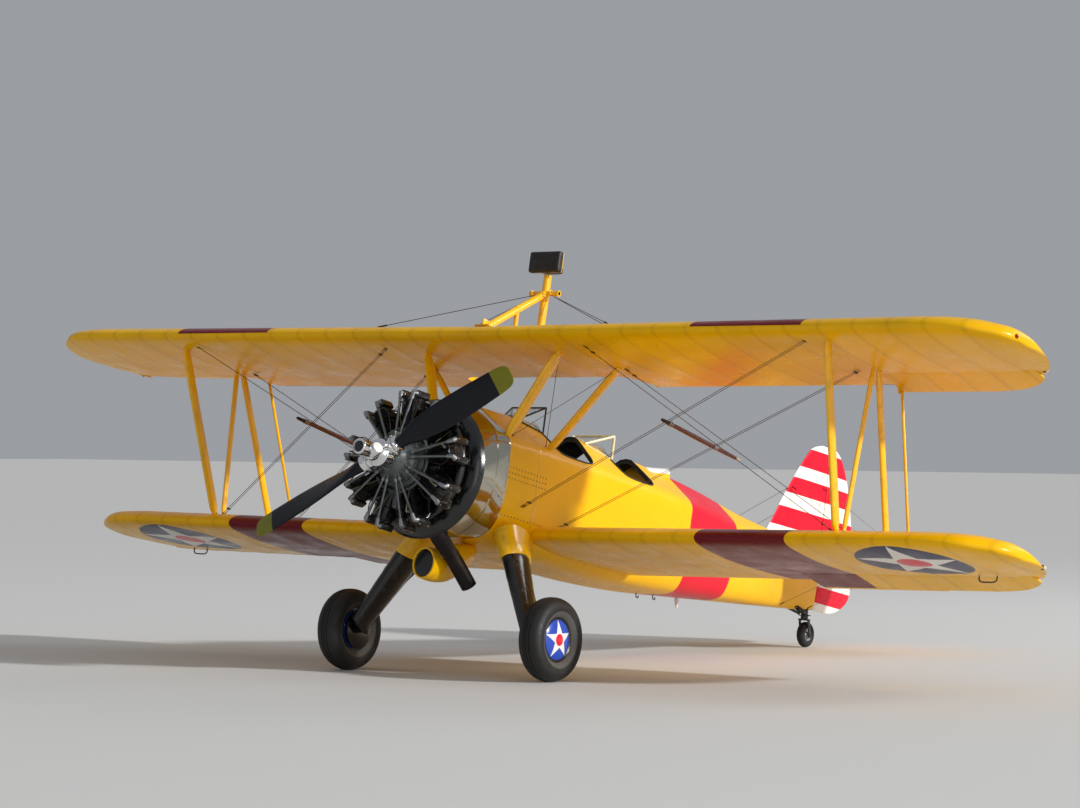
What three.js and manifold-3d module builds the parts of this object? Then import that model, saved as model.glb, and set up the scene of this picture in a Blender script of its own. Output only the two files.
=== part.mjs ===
// Two-seat biplane trainer with a nine-cylinder radial engine and a standing rig on the upper wing.
// Millimetres. The pieces are drawn in the level airframe: x to the aircraft's left, y aft from the
// main axle, z up from the axle. The last section pitches the airframe onto its three wheels.
import * as THREE from "three";
import { mergeVertices } from "three/addons/utils/BufferGeometryUtils.js";
import Module from "manifold-3d";

const wasm = await Module();
wasm.setup();

// Clearances
const SEAT = 0.3;              // between pieces that touch
const RUNNING = 6;             // around pieces that move
const BEARING = 0.5;           // around shafts and pins

// Stance
const PITCH = 11.6 * Math.PI / 180;
const TYRE_R = 338;
const TYRE_WIDTH = 215;
const HALF_TRACK = 1036;
const TAIL_TYRE_R = 120;

// Power plant
const THRUST_Z = 1262;
const PROP_Y = -1165;
const PROP_R = 1350;
const BLADE_REST = 28.8 * Math.PI / 180;
const CYLINDER_Y = -840;
const CYLINDER_COUNT = 9;
const ENGINE_R = 584;
const COWL_FRONT_Y = -610;
const FIREWALL_Y = -60;

// Wings
const CHORD = 1524;
const UPPER = { leY: -274, leZ: 2463, incidence: 4.75, dihedral: 0.4, tip: 4900 };
const LOWER = { leY: 370, leZ: 903, incidence: 2.6, dihedral: 0.7, root: 300, tip: 4710 };
const CENTER_HALF = 950;
const CUTOUT_HALF = 800;
const CUTOUT_DEPTH = 400;
const AILERON_HINGE = 1140;    // chordwise place of the hinge
const AILERON_NOSE = 51;
const UPPER_AILERON = [3275, 4650];
const LOWER_AILERON = [2350, 4460];
const AILERON_REST = 10 * Math.PI / 180;
const AILERON_PIN = { radius: 8, into: 18, segments: 12 };

// Struts
const STRUT_TOP_X = 3315;
const STRUT_FOOT_X = 3212;
const FRONT_SPAR = 222;
const REAR_SPAR = 1032;

// Tail
const RUDDER_Y = 5530;
const FIN_REAR = 5486;
const ELEVATOR_Y = 5370;
const ELEVATOR_NOSE = 24;
const TAILPLANE_Z = 1600;
const TAIL_HALF_SPAN = 1800;
const TORQUE_TUBE_R = 20;
const TORQUE_TUBE_SEGMENTS = 24;
const RUDDER_LUG = { half: 10, tall: 12, pinR: 6, pinUp: 30, rear: 18, fuselageZ: 1300, finZ: 2300 };

const v3 = (x, y, z) => new THREE.Vector3(x, y, z);

// Solids and meshes

// Turns a geometry's faces outwards when its signed volume is negative.
function outward(geometry) {
  const p = geometry.attributes.position;
  const index = geometry.index.array;
  const [a, b, c] = [v3(), v3(), v3()];
  let volume = 0;
  for (let i = 0; i < index.length; i += 3) {
    a.fromBufferAttribute(p, index[i]);
    b.fromBufferAttribute(p, index[i + 1]);
    c.fromBufferAttribute(p, index[i + 2]);
    volume += a.dot(b.cross(c));
  }
  if (volume < 0) {
    for (let i = 0; i < index.length; i += 3) {
      [index[i + 1], index[i + 2]] = [index[i + 2], index[i + 1]];
    }
  }
  return geometry;
}

// Closed skin through rings of equally many points, with a fan over each end.
function loft(rings) {
  const count = rings[0].length;
  const positions = rings.flat().flatMap((p) => [p.x, p.y, p.z]);
  const index = [];
  for (let r = 0; r + 1 < rings.length; r += 1) {
    for (let i = 0; i < count; i += 1) {
      const j = (i + 1) % count;
      const [a, b] = [r * count + i, r * count + j];
      // The shorter diagonal, so that left and right halves split alike
      if (rings[r][i].distanceTo(rings[r + 1][j]) < rings[r][j].distanceTo(rings[r + 1][i])) {
        index.push(a, b, b + count, a, b + count, a + count);
      } else {
        index.push(a, b, a + count, b, b + count, a + count);
      }
    }
  }
  const last = (rings.length - 1) * count;
  for (let i = 1; i + 1 < count; i += 1) {
    index.push(0, i + 1, i);
    index.push(last, last + i, last + i + 1);
  }
  const geometry = new THREE.BufferGeometry();
  geometry.setAttribute("position", new THREE.Float32BufferAttribute(positions, 3));
  geometry.setIndex(index);
  return outward(geometry);
}

function toSolid(geometry) {
  const bare = geometry.clone();
  bare.deleteAttribute("normal");
  bare.deleteAttribute("uv");
  const merged = mergeVertices(bare, 1e-3);
  return new wasm.Manifold(new wasm.Mesh({
    numProp: 3,
    vertProperties: new Float32Array(merged.attributes.position.array),
    triVerts: new Uint32Array(merged.index.array),
  }));
}

function toGeometry(body) {
  const mesh = body.getMesh();
  const geometry = new THREE.BufferGeometry();
  geometry.setAttribute("position", new THREE.BufferAttribute(mesh.vertProperties, 3));
  geometry.setIndex(new THREE.BufferAttribute(mesh.triVerts, 1));
  return geometry;
}

function moved(geometry, x, y, z) {
  return geometry.translate(x, y, z);
}

function mirrored(geometry) {
  const copy = geometry.clone().scale(-1, 1, 1);
  if (copy.index === null) {
    return outward(mergeVertices(copy, 1e-4));
  }
  return outward(copy);
}

const box = (x, y, z, at) => toSolid(moved(new THREE.BoxGeometry(x, y, z), at.x, at.y, at.z));

// Solid of revolution; the profile's columns are radius and distance along the axis.
function turned(profile, axis, at, segments = 24) {
  const geometry = new THREE.LatheGeometry(profile.map(([r, h]) => new THREE.Vector2(r, h)), segments);
  const turn = new THREE.Quaternion().setFromUnitVectors(v3(0, 1, 0), axis.clone().normalize());
  geometry.applyQuaternion(turn);
  return toSolid(moved(outward(mergeBare(geometry)), at.x, at.y, at.z));
}

function mergeBare(geometry) {
  geometry.deleteAttribute("normal");
  geometry.deleteAttribute("uv");
  return mergeVertices(geometry, 1e-3);
}

// Round rod between two points.
function rod(from, to, radius, segments = 10) {
  const axis = to.clone().sub(from);
  return turned([[0, 0], [radius, 0], [radius, axis.length()], [0, axis.length()]], axis, from, segments);
}

// Corner radius of a bore that leaves the bearing clearance round a pin.
const boreR = (pin, segments) => (pin + BEARING) / Math.cos(Math.PI / segments);

// Streamlined strut between two points; chord runs aft.
function strut(from, to, chord, thick) {
  const along = to.clone().sub(from).normalize();
  const across = v3().crossVectors(v3(0, 1, 0), along).normalize();
  const aft = v3().crossVectors(along, across).normalize();
  const ring = (centre) => [
    [-0.42, 0], [-0.36, 0.27], [-0.18, 0.47], [0.08, 0.46], [0.36, 0.22],
    [0.58, 0], [0.36, -0.22], [0.08, -0.46], [-0.18, -0.47], [-0.36, -0.27],
  ].map(([c, t]) => centre.clone().addScaledVector(aft, c * chord).addScaledVector(across, t * thick));
  return toSolid(loft([ring(from), ring(to)]));
}

const group = new THREE.Group();
const airframe = new THREE.Group();
group.add(airframe);

function paint(color, roughness, metalness) {
  return () => new THREE.MeshStandardMaterial({ color, roughness, metalness });
}

const yellow = paint(0xf2b705, 0.35, 0);
const red = paint(0xc4122b, 0.35, 0);
const black = paint(0x101216, 0.4, 0);
const steel = paint(0x9aa0a6, 0.35, 0.9);
const darkSteel = paint(0x2b2d30, 0.5, 0.7);
const polished = paint(0xd5d9dc, 0.12, 1);
const rubber = paint(0x15161a, 0.85, 0);
const navy = paint(0x0c1220, 0.4, 0.1);
const glass = paint(0xc9dde6, 0.08, 0);
const leather = paint(0x4a2c1c, 0.7, 0);
const blue = paint(0x1c3f9e, 0.35, 0);

// A piece that moves is drawn in a group placed on its joint.
function add(name, body, material, hinge = null) {
  const geometry = toGeometry(body);
  const mesh = new THREE.Mesh(geometry, material());
  mesh.name = name;
  if (hinge) {
    geometry.translate(-hinge.at.x, -hinge.at.y, -hinge.at.z);
    hinge.group.add(mesh);
  } else {
    airframe.add(mesh);
  }
}

function hingeAt(name, at, axis, rest = 0) {
  const pivot = new THREE.Group();
  pivot.name = name;
  pivot.position.copy(at);
  pivot.userData.axis = axis.clone().normalize();
  pivot.setRotationFromAxisAngle(pivot.userData.axis, rest);
  airframe.add(pivot);
  return { at, group: pivot };
}

const sides = [["left", 1], ["right", -1]];
const bodyOnSide = (body, sign) => (sign > 0 ? body : toSolid(mirrored(toGeometry(body))));

// Fuselage sections: station y, half width, height of the widest line, crown, crown power, keel,
// keel power, share of the peaked deck
const FUSELAGE = [
  [-60, 428, 1400, 1890, 2.3, 785, 3.4, 1],
  [400, 430, 1400, 1906, 2.5, 745, 4.5, 1],
  [1350, 430, 1400, 1920, 2.6, 725, 5, 1],
  [2380, 425, 1400, 1896, 2.6, 775, 5, 1],
  [3220, 345, 1410, 1853, 2.5, 865, 4.5, 1],
  [3970, 255, 1420, 1776, 2.4, 950, 4, 0.9],
  [4560, 175, 1430, 1742, 2.3, 1018, 3.6, 0.7],
  [5180, 90, 1440, 1690, 2.2, 1092, 3, 0.4],
  [5490, 38, 1440, 1655, 2, 1135, 2.5, 0],
];
const RING_POINTS = 28;
// Peaked deck, one quarter from the widest line up: share of the half width, share of the height
const DECK = [
  [1, 0.1], [0.99, 0.28], [0.955, 0.42], [0.84, 0.545], [0.62, 0.685], [0.36, 0.845], [0.12, 0.985],
];

function bodyRing([y, half, wide, crown, crownPower, keel, keelPower, peak = 0], grow = 0) {
  return Array.from({ length: RING_POINTS }, (_, i) => {
    const angle = 2 * Math.PI * (i + 0.5) / RING_POINTS;
    const [c, s] = [Math.cos(angle), Math.sin(angle)];
    const power = s > 0 ? crownPower : keelPower;
    const tall = s > 0 ? crown - wide : wide - keel;
    let [across, up] = [Math.abs(c) ** (2 / power), Math.abs(s) ** (2 / power)];
    if (s > 0) {
      const [deckAcross, deckUp] = DECK[i < DECK.length ? i : RING_POINTS / 2 - 1 - i];
      across += peak * (deckAcross - across);
      up += peak * (deckUp - up);
    }
    return v3(Math.sign(c) * across * (half + grow), y, wide + Math.sign(s) * up * (tall + grow));
  });
}

const hull = (grow) => toSolid(loft(FUSELAGE.map((row) => bodyRing(row, grow))));
const hullSeat = hull(1.5 * SEAT);

// Interior of the two cockpits: wall thickness, floor height, ends
const COCKPIT = { wall: 34, floor: 880, front: 560, rear: 2320 };
// Cockpit rims in plan, left half from the front to the rear: x, y
const RIMS = [
  [
    [0, 692], [300, 674], [372, 690], [392, 760], [396, 960], [388, 1140], [340, 1205], [215, 1268],
    [95, 1322], [0, 1334],
  ],
  [
    [0, 1672], [290, 1652], [360, 1664], [384, 1730], [388, 1900], [378, 2080], [330, 2138], [200, 2168],
    [0, 2185],
  ],
];

function rimCutter(half, low, high) {
  const shape = new THREE.Shape([...half, ...half.slice(1, -1).reverse().map(([x, y]) => [-x, y])]
    .map(([x, y]) => new THREE.Vector2(x, y)));
  const geometry = new THREE.ExtrudeGeometry(shape, { depth: high - low, bevelEnabled: false });
  return toSolid(outward(mergeBare(moved(geometry, 0, 0, low))));
}

function makeFuselage() {
  const { wall, floor } = COCKPIT;
  const inner = FUSELAGE.filter(([y]) => y > 0 && y < 3300).map((row) => {
    const [y, half, wide, crown, crownPower, , keelPower, peak] = row;
    return [y, half - wall, wide, crown - wall, crownPower, floor - 60, keelPower, peak];
  });
  const length = COCKPIT.rear - COCKPIT.front;
  const span = box(900, length, 1400, v3(0, COCKPIT.front + length / 2, floor + 700));
  const room = toSolid(loft(inner.map((row) => bodyRing(row)))).intersect(span);
  const headrest = toSolid(loft([
    [2200, 110, 1700, 1898], [2420, 110, 1700, 1925], [2600, 95, 1700, 1945], [2830, 76, 1700, 1962],
    [2848, 70, 1700, 1860],
  ].map(([y, half, low, high]) => [
    v3(-half, y, low), v3(-half, y, high - 30), v3(-half * 0.7, y, high - 4), v3(0, y, high),
    v3(half * 0.7, y, high - 4), v3(half, y, high - 30), v3(half, y, low),
  ])));
  let body = hull(0).add(headrest).subtract(room);
  for (const rim of RIMS) {
    body = body.subtract(rimCutter(rim, 1540, 2200));
  }
  const tubeHole = torqueTube(400, boreR(TORQUE_TUBE_R, TORQUE_TUBE_SEGMENTS));
  return body.subtract(tubeHole).add(rudderLug(RUDDER_LUG.fuselageZ));
}

// Round bar across the tail on the elevator's hinge line
function torqueTube(half, radius) {
  const end = (sign) => v3(sign * half, ELEVATOR_Y, TAILPLANE_Z);
  return rod(end(-1), end(1), radius, TORQUE_TUBE_SEGMENTS);
}

// Lug behind the fin or the sternpost, with the upright pin that the rudder turns on
function rudderLug(z) {
  const { half, tall, pinR, pinUp } = RUDDER_LUG;
  const reach = RUDDER_Y - FIN_REAR + 20;
  const at = (height) => v3(0, RUDDER_Y, z + height);
  return box(2 * half, reach, tall, v3(0, RUDDER_Y - reach / 2, z))
    .add(rod(at(-tall / 2), at(tall / 2), half, 16))
    .add(rod(at(0), at(tall / 2 + pinUp), pinR, 16));
}

// Room for a lug in the rudder's nose, and the bore of its pin
function rudderNotch(z) {
  const { tall, pinR, pinUp, rear } = RUDDER_LUG;
  const at = (height) => v3(0, RUDDER_Y, z + height);
  return box(120, 60 + rear, tall + 2 * RUNNING, v3(0, RUDDER_Y + (rear - 60) / 2, z))
    .add(rod(at(0), at(tall / 2 + pinUp + RUNNING), boreR(pinR, 16), 16));
}

add("fuselage", makeFuselage(), yellow);

// Seats: a pan and a back on the cockpit floor
for (const [name, backY] of [["front", 1240], ["rear", 2110]]) {
  const pan = box(400, 360, 210, v3(0, backY - 180, COCKPIT.floor + SEAT + 105));
  const back = box(400, 50, 640, v3(0, backY - 20, COCKPIT.floor + SEAT + 320));
  add(`seat_${name}`, pan.add(back), leather);
}

// Windscreens: name, front y, rear y, top z, half width, height of the deck at the front
const WINDSCREENS = [
  ["front", 430, 690, 2040, 178, 1910],
  ["rear", 1400, 1668, 2004, 213, 1922],
];
const PANE = 5;
const HOOP = 20;

// Glass box over the deck: half as wide at its front as at its rear
function wedge(front, rear, top, half, foot, deck) {
  const narrow = half / 2;
  return toSolid(loft([-1, 1].map((s) => [
    v3(s * narrow, front, foot), v3(s * half, rear, foot), v3(s * half, rear, top),
    v3(s * narrow, front, deck),
  ])));
}

for (const [name, front, rear, top, half, deck] of WINDSCREENS) {
  const foot = 1690;
  const outer = wedge(front, rear, top, half, foot, deck);
  const inner = wedge(front + 3 * PANE, rear + 50, top - PANE + 50 * (top - deck) / (rear - front),
    half * (1 + 25 / (rear - front)) - PANE, foot - 10, deck);
  const shell = outer.subtract(inner).subtract(hullSeat);
  const glassSpan = box(900, rear - front, 900, v3(0, (front + rear) / 2 - HOOP - SEAT, 1900));
  add(`windscreen_${name}_glass`, shell.intersect(glassSpan), glass);
  const hoopBox = (width, deep, drop) => (
    box(width, deep, top - foot + 8, v3(0, rear - HOOP / 2, (top + foot) / 2 - drop))
  );
  const hoopOuter = hoopBox(2 * half + 16, HOOP, -4);
  const hoopInner = hoopBox(2 * half - 16, 2 * HOOP, 12);
  const hoop = hoopOuter.subtract(hoopInner).subtract(hullSeat);
  add(`windscreen_${name}_frame`, hoop, name === "front" ? black : yellow);
}

// Nose: polished cowl over the accessories, black ring behind the cylinders
function circleRow(y, radius) {
  return [y, radius, THRUST_Z, THRUST_Z + radius, 2, THRUST_Z - radius, 2];
}

const COWL_MIDDLE = [-330, 508, 1320, 1874, 2.1, 735, 2.2, 0.3];
const FIREWALL = [428, 1400, 1890, 2.3, 785, 3.4, 1];
const cowl = loft([
  bodyRing(circleRow(COWL_FRONT_Y, 440)), bodyRing(circleRow(COWL_FRONT_Y + 10, 505)),
  bodyRing(circleRow(COWL_FRONT_Y + 35, 545)), bodyRing(circleRow(COWL_FRONT_Y + 65, 562)),
  bodyRing(COWL_MIDDLE), bodyRing([FIREWALL_Y - SEAT, ...FIREWALL]),
]);
add("accessory_cowl", toSolid(cowl), polished);

const aftAxis = v3(0, 1, 0);
const onThrust = (y) => v3(0, y, THRUST_Z);
const NECK_R = 200;
const BAFFLE_SEGMENTS = 36;
const baffleBore = (NECK_R + SEAT) / Math.cos(Math.PI / BAFFLE_SEGMENTS);
// Dished disc over the cowl's front: radius, y
const BAFFLE = [
  [baffleBore, -634], [440, -634], [520, -622], [560, -595], [573, -556], [567, -552], [553, -590],
  [516, -614], [440, -624], [baffleBore, -624], [baffleBore, -634],
];
add("engine_baffle", turned(BAFFLE, aftAxis, onThrust(0), BAFFLE_SEGMENTS), black);

// Engine: crankcase with its push-rod tubes, and nine finned cylinders on a ring
const CASE_R = 232;
const SHAFT_R = 38;
const cylinderAngle = (i) => Math.PI / 2 + 2 * Math.PI * i / CYLINDER_COUNT;
const radialPoint = (angle, radius, y) => (
  v3(radius * Math.cos(angle), y, THRUST_Z + radius * Math.sin(angle))
);

let crankcase = turned([
  [0, -1210], [SHAFT_R, -1210], [SHAFT_R, -1097], [88, -1093], [118, -1060], [150, -990], [196, -950],
  [200, -920], [CASE_R, -905], [CASE_R, -700], [NECK_R, -690], [NECK_R, COWL_FRONT_Y - SEAT],
  [0, COWL_FRONT_Y - SEAT],
], aftAxis, onThrust(0), 27);

const HEAD_R = 508;
for (let i = 0; i < CYLINDER_COUNT; i += 1) {
  for (const offset of [-0.085, 0.085]) {
    const angle = cylinderAngle(i) + offset;
    const foot = radialPoint(cylinderAngle(i) + 1.2 * offset, 136, -1000);
    crankcase = crankcase.add(rod(foot, radialPoint(angle + 0.4 * offset, HEAD_R + 20, -948), 11, 8));
  }
}
add("engine_crankcase", crankcase, steel);

// One cylinder's turned profile, fins on the barrel and head: radius, height above the crank axis
const BARREL_R = 66;
const HEAD_FIN_R = 96;
const cylinderProfile = [[0, CASE_R + SEAT + 8], [84, CASE_R + SEAT + 8], [84, 258], [BARREL_R, 262]];
for (const h of [300, 345]) {
  cylinderProfile.push([BARREL_R, h - 10], [84, h], [BARREL_R, h + 10]);
}
for (const h of [400, 440, 480]) {
  cylinderProfile.push([76, h - 12], [HEAD_FIN_R, h], [76, h + 12]);
}
cylinderProfile.push([62, 530], [0, 532]);

let cylinders = turned([
  [CASE_R + SEAT, CYLINDER_Y - 60], [CASE_R + 14, CYLINDER_Y - 60], [CASE_R + 14, CYLINDER_Y + 60],
  [CASE_R + SEAT, CYLINDER_Y + 60], [CASE_R + SEAT, CYLINDER_Y - 60],
], aftAxis, onThrust(0), 27);
for (let i = 0; i < CYLINDER_COUNT; i += 1) {
  const angle = cylinderAngle(i);
  const radial = v3(Math.cos(angle), 0, Math.sin(angle));
  cylinders = cylinders.add(turned(cylinderProfile, radial, onThrust(CYLINDER_Y), 8));
  for (const offset of [-0.14, 0.14]) {
    const rocker = new THREE.BoxGeometry(62, 150, 58).translate(0, 0, ENGINE_R - 34);
    rocker.rotateY(Math.PI / 2 - angle + offset);
    cylinders = cylinders.add(toSolid(moved(rocker, 0, CYLINDER_Y - 6, THRUST_Z)));
  }
}
add("engine_cylinders", cylinders, darkSteel);

// Exhaust tail pipe and the scoop under the cowl
const pipe = [v3(130, -520, 800), v3(135, -480, 735), v3(185, -300, 580), v3(236, -112, 384)];
const PIPE_R = 66;
let exhaust = rod(pipe[0], pipe[1], PIPE_R, 14);
exhaust = exhaust.add(rod(pipe[1], pipe[2], PIPE_R, 14)).add(rod(pipe[2], pipe[3], PIPE_R, 14));
exhaust = exhaust.subtract(rod(v3(227, -147, 421), v3(241, -92, 363), PIPE_R - 8, 14));
const cowlSeat = toSolid(loft([
  bodyRing(circleRow(COWL_FRONT_Y - 80, 562), SEAT), bodyRing(circleRow(COWL_FRONT_Y + 65, 562), SEAT),
  bodyRing(COWL_MIDDLE, SEAT), bodyRing([FIREWALL_Y, ...FIREWALL], SEAT),
]));
add("exhaust_pipe", exhaust.subtract(cowlSeat), darkSteel);

const scoopRing = (y, centreZ, half, tall) => Array.from({ length: 16 }, (_, i) => {
  const angle = 2 * Math.PI * i / 16;
  return v3(half * Math.cos(angle) - 20, y, centreZ + tall * Math.sin(angle));
});
const scoop = toSolid(loft([
  scoopRing(-420, 515, 110, 128), scoopRing(-250, 530, 120, 145), scoopRing(-60, 590, 110, 150),
  scoopRing(160, 700, 80, 80),
]));
const scoopMouth = toSolid(loft([scoopRing(-440, 513, 96, 114), scoopRing(-330, 523, 96, 114)]));
const pipeSeat = rod(pipe[1], pipe[3], PIPE_R + SEAT, 14);
add("air_scoop", scoop.subtract(scoopMouth).subtract(cowlSeat).subtract(hullSeat).subtract(pipeSeat), yellow);

// Wings: an aerofoil ring as chord fraction and height fraction, nose to trailing edge and back
const AEROFOIL = { thickness: 0.13, camber: 0.02, camberAt: 0.2 };

function aerofoilPoint(x, side) {
  const half = 5 * AEROFOIL.thickness * (0.2969 * Math.sqrt(x) - 0.126 * x - 0.3516 * x ** 2
    + 0.2843 * x ** 3 - 0.1036 * x ** 4);
  const { camber, camberAt: at } = AEROFOIL;
  const line = x < at
    ? camber / at ** 2 * (2 * at * x - x * x)
    : camber / (1 - at) ** 2 * (1 - 2 * at + 2 * at * x - x * x);
  return [x, line + side * half];
}

const aerofoil = [
  ...[1, 0.85, 0.7, 0.5, 0.3, 0.14, 0.05, 0.012, 0].map((x) => aerofoilPoint(x, 1)),
  ...[0.012, 0.05, 0.14, 0.3, 0.5, 0.7, 0.85].map((x) => aerofoilPoint(x, -1)),
];

// Tip outline: distance in from the tip, leading edge back, trailing edge forward, thickness factor
const TIP = [
  [740, 0, 0, 1],
  [510, 22, 36, 0.98],
  [330, 74, 126, 0.93],
  [200, 172, 285, 0.84],
  [95, 272, 462, 0.7],
  [30, 400, 640, 0.48],
  [8, 540, 760, 0.3],
  [0, 640, 840, 0.2],
];
const TIP_START = TIP[0][0];

function wingPanel(wing, fromX, toX) {
  const stations = [[fromX, 0, 0, 1]];
  if (toX === wing.tip) {
    stations.push(...TIP.map(([inset, le, te, thick]) => [wing.tip - inset, le, te, thick]));
  } else {
    stations.push([toX, 0, 0, 1]);
  }
  return toSolid(loft(stations.map(([x, le, te, thick]) => aerofoil.map(([c, h]) => {
    const chord = CHORD - le - te;
    return onWing(wing, x, le + c * chord, h * CHORD * thick);
  }))));
}

// Point on a left-hand wing: span x, distance aft of the leading edge, height over the chord line.
function onWing(wing, x, aft, up) {
  const tilt = wing.incidence * Math.PI / 180;
  const rise = Math.abs(x) * Math.tan(wing.dihedral * Math.PI / 180);
  return v3(
    x,
    wing.leY + aft * Math.cos(tilt) + up * Math.sin(tilt),
    wing.leZ + rise - aft * Math.sin(tilt) + up * Math.cos(tilt),
  );
}

// Prism across the span with a rounded nose at the aileron hinge.
function aileronCutter(wing, [from, to], nose, inset) {
  const shape = new THREE.Shape();
  shape.moveTo(700, -300);
  shape.lineTo(0, -300);
  shape.lineTo(0, -nose);
  shape.absarc(0, 0, nose, -Math.PI / 2, Math.PI / 2, true);
  shape.lineTo(0, 300);
  shape.lineTo(700, 300);
  shape.closePath();
  const depth = to - from - 2 * inset;
  const geometry = new THREE.ExtrudeGeometry(shape, { depth, bevelEnabled: false, curveSegments: 10 });
  // Extrusion runs along z: turn it so that it runs along the span and the nose faces forward.
  geometry.applyMatrix4(new THREE.Matrix4().makeBasis(v3(0, 1, 0), v3(0, 0, 1), v3(1, 0, 0)));
  const tilt = wing.incidence * Math.PI / 180;
  geometry.rotateX(-tilt).rotateY(-wing.dihedral * Math.PI / 180);
  const at = onWing(wing, from + inset, AILERON_HINGE, AILERON_CENTRE);
  return toSolid(outward(mergeBare(moved(geometry, at.x, at.y, at.z))));
}

// The hinge lies midway between the skins.
const hingeSkins = [1, -1].map((side) => aerofoilPoint(AILERON_HINGE / CHORD, side)[1] * CHORD);
const AILERON_CENTRE = (hingeSkins[0] + hingeSkins[1]) / 2;

// Hinge pins run from the aileron's ends into the walls of its bay.
function aileronPins(wing, [from, to], radius, into) {
  const at = (x) => onWing(wing, x, AILERON_HINGE, AILERON_CENTRE);
  const { segments } = AILERON_PIN;
  return rod(at(from - into), at(from + 3 * RUNNING), radius, segments)
    .add(rod(at(to - 3 * RUNNING), at(to + into), radius, segments));
}

const upperPanel = wingPanel(UPPER, CENTER_HALF + SEAT, UPPER.tip);
const lowerPanel = wingPanel(LOWER, LOWER.root, LOWER.tip).subtract(hullSeat);
const wingSets = [
  ["upper", UPPER, upperPanel, UPPER_AILERON],
  ["lower", LOWER, lowerPanel, LOWER_AILERON],
];

const centre = toSolid(loft([-CENTER_HALF, 0, CENTER_HALF].map((x) => (
  aerofoil.map(([c, h]) => onWing(UPPER, x, c * CHORD, h * CHORD))
))));
const cutoutShape = new THREE.Shape();
cutoutShape.moveTo(-CUTOUT_HALF - 120, CHORD + 60);
cutoutShape.lineTo(-CUTOUT_HALF - 110, CHORD - 10);
const cutFront = CHORD - CUTOUT_DEPTH;
cutoutShape.lineTo(-CUTOUT_HALF - 70, cutFront + 110);
cutoutShape.quadraticCurveTo(-CUTOUT_HALF - 50, cutFront, -CUTOUT_HALF + 70, cutFront);
cutoutShape.lineTo(CUTOUT_HALF - 70, cutFront);
cutoutShape.quadraticCurveTo(CUTOUT_HALF + 50, cutFront, CUTOUT_HALF + 70, cutFront + 110);
cutoutShape.lineTo(CUTOUT_HALF + 110, CHORD - 10);
cutoutShape.lineTo(CUTOUT_HALF + 120, CHORD + 60);
cutoutShape.closePath();
const cutout = new THREE.ExtrudeGeometry(cutoutShape, { depth: 400, bevelEnabled: false, curveSegments: 6 });
const centreWing = centre.subtract(toSolid(mergeBare(moved(cutout, 0, UPPER.leY, UPPER.leZ - 250))));
add("upper_wing_center", centreWing, yellow);

// Horns carry the links: a plate on the lower aileron with its pin, a plate under the upper one
const LINK_X = { upper: 3330, lower: 3227 };
const LINK_THICK = 22;
const HORN_AFT = { upper: 290, lower: 240 };
const HORN_UP = { upper: 58, lower: 34 };
const HORN_BASE = -12;
const HORN_PIN_R = 7;
const wingOf = { upper: UPPER, lower: LOWER };

function hornPin(level, up) {
  return onWing(wingOf[level], LINK_X[level], AILERON_HINGE + HORN_AFT[level],
    AILERON_CENTRE + up * HORN_UP[level]);
}

function horn(level, up) {
  const wing = wingOf[level];
  const plateX = LINK_X[level] - LINK_THICK / 2 - RUNNING - 5;
  const tip = up * (HORN_UP[level] + 14);
  const corners = [[-60, HORN_BASE], [50, HORN_BASE], [16, tip], [-16, tip]];
  const plate = toSolid(loft([plateX - 5, plateX + 5].map((x) => corners.map(([aft, rise]) => (
    onWing(wing, x, AILERON_HINGE + HORN_AFT[level] + aft, AILERON_CENTRE + rise)
  )))));
  if (up < 0) {
    return plate;
  }
  const pin = hornPin(level, up);
  const rise = Math.tan(wing.dihedral * Math.PI / 180);
  const reach = (dx) => v3(pin.x + dx, pin.y, pin.z + dx * rise);
  return plate.add(rod(reach(-LINK_THICK / 2 - RUNNING - 5), reach(LINK_THICK / 2 + 4), HORN_PIN_R, 12));
}

const wingHinges = {};
for (const [level, wing, panel, range] of wingSets) {
  const pin = AILERON_PIN;
  const bores = aileronPins(wing, range, boreR(pin.radius, pin.segments), pin.into + BEARING);
  const fixed = panel.subtract(aileronCutter(wing, range, AILERON_NOSE + RUNNING, 0)).subtract(bores);
  const moving = panel.intersect(aileronCutter(wing, range, AILERON_NOSE, RUNNING))
    .add(horn(level, level === "lower" ? 1 : -1))
    .add(aileronPins(wing, range, pin.radius, pin.into));
  for (const [side, sign] of sides) {
    add(`${level}_wing_${side}`, bodyOnSide(fixed, sign), yellow);
    const at = onWing(wing, (range[0] + range[1]) / 2, AILERON_HINGE, AILERON_CENTRE);
    const rise = wing.dihedral * Math.PI / 180;
    const axis = v3(Math.cos(rise), 0, Math.sin(rise));
    at.x *= sign;
    axis.z *= sign;
    // Port ailerons rest down and starboard ones up, as parked.
    const hinge = hingeAt(`${level}_aileron_${side}_hinge`, at, axis, -sign * AILERON_REST);
    wingHinges[`${level}_${side}`] = hinge;
    add(`${level}_aileron_${side}`, bodyOnSide(moving, sign), yellow, hinge);
  }
}

// Whole wings grown by the seat gap, to cut the struts that meet them
const grownWing = (wing, stations) => toSolid(loft([...stations, wing.tip - TIP_START].map((x) => (
  aerofoil.map(([c, h]) => onWing(wing, x, c * (CHORD + 2 * SEAT) - SEAT, h * CHORD + Math.sign(h) * SEAT))
))));
const upperSeat = grownWing(UPPER, [-200, 0]);
const lowerSeat = grownWing(LOWER, [LOWER.root]);

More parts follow.
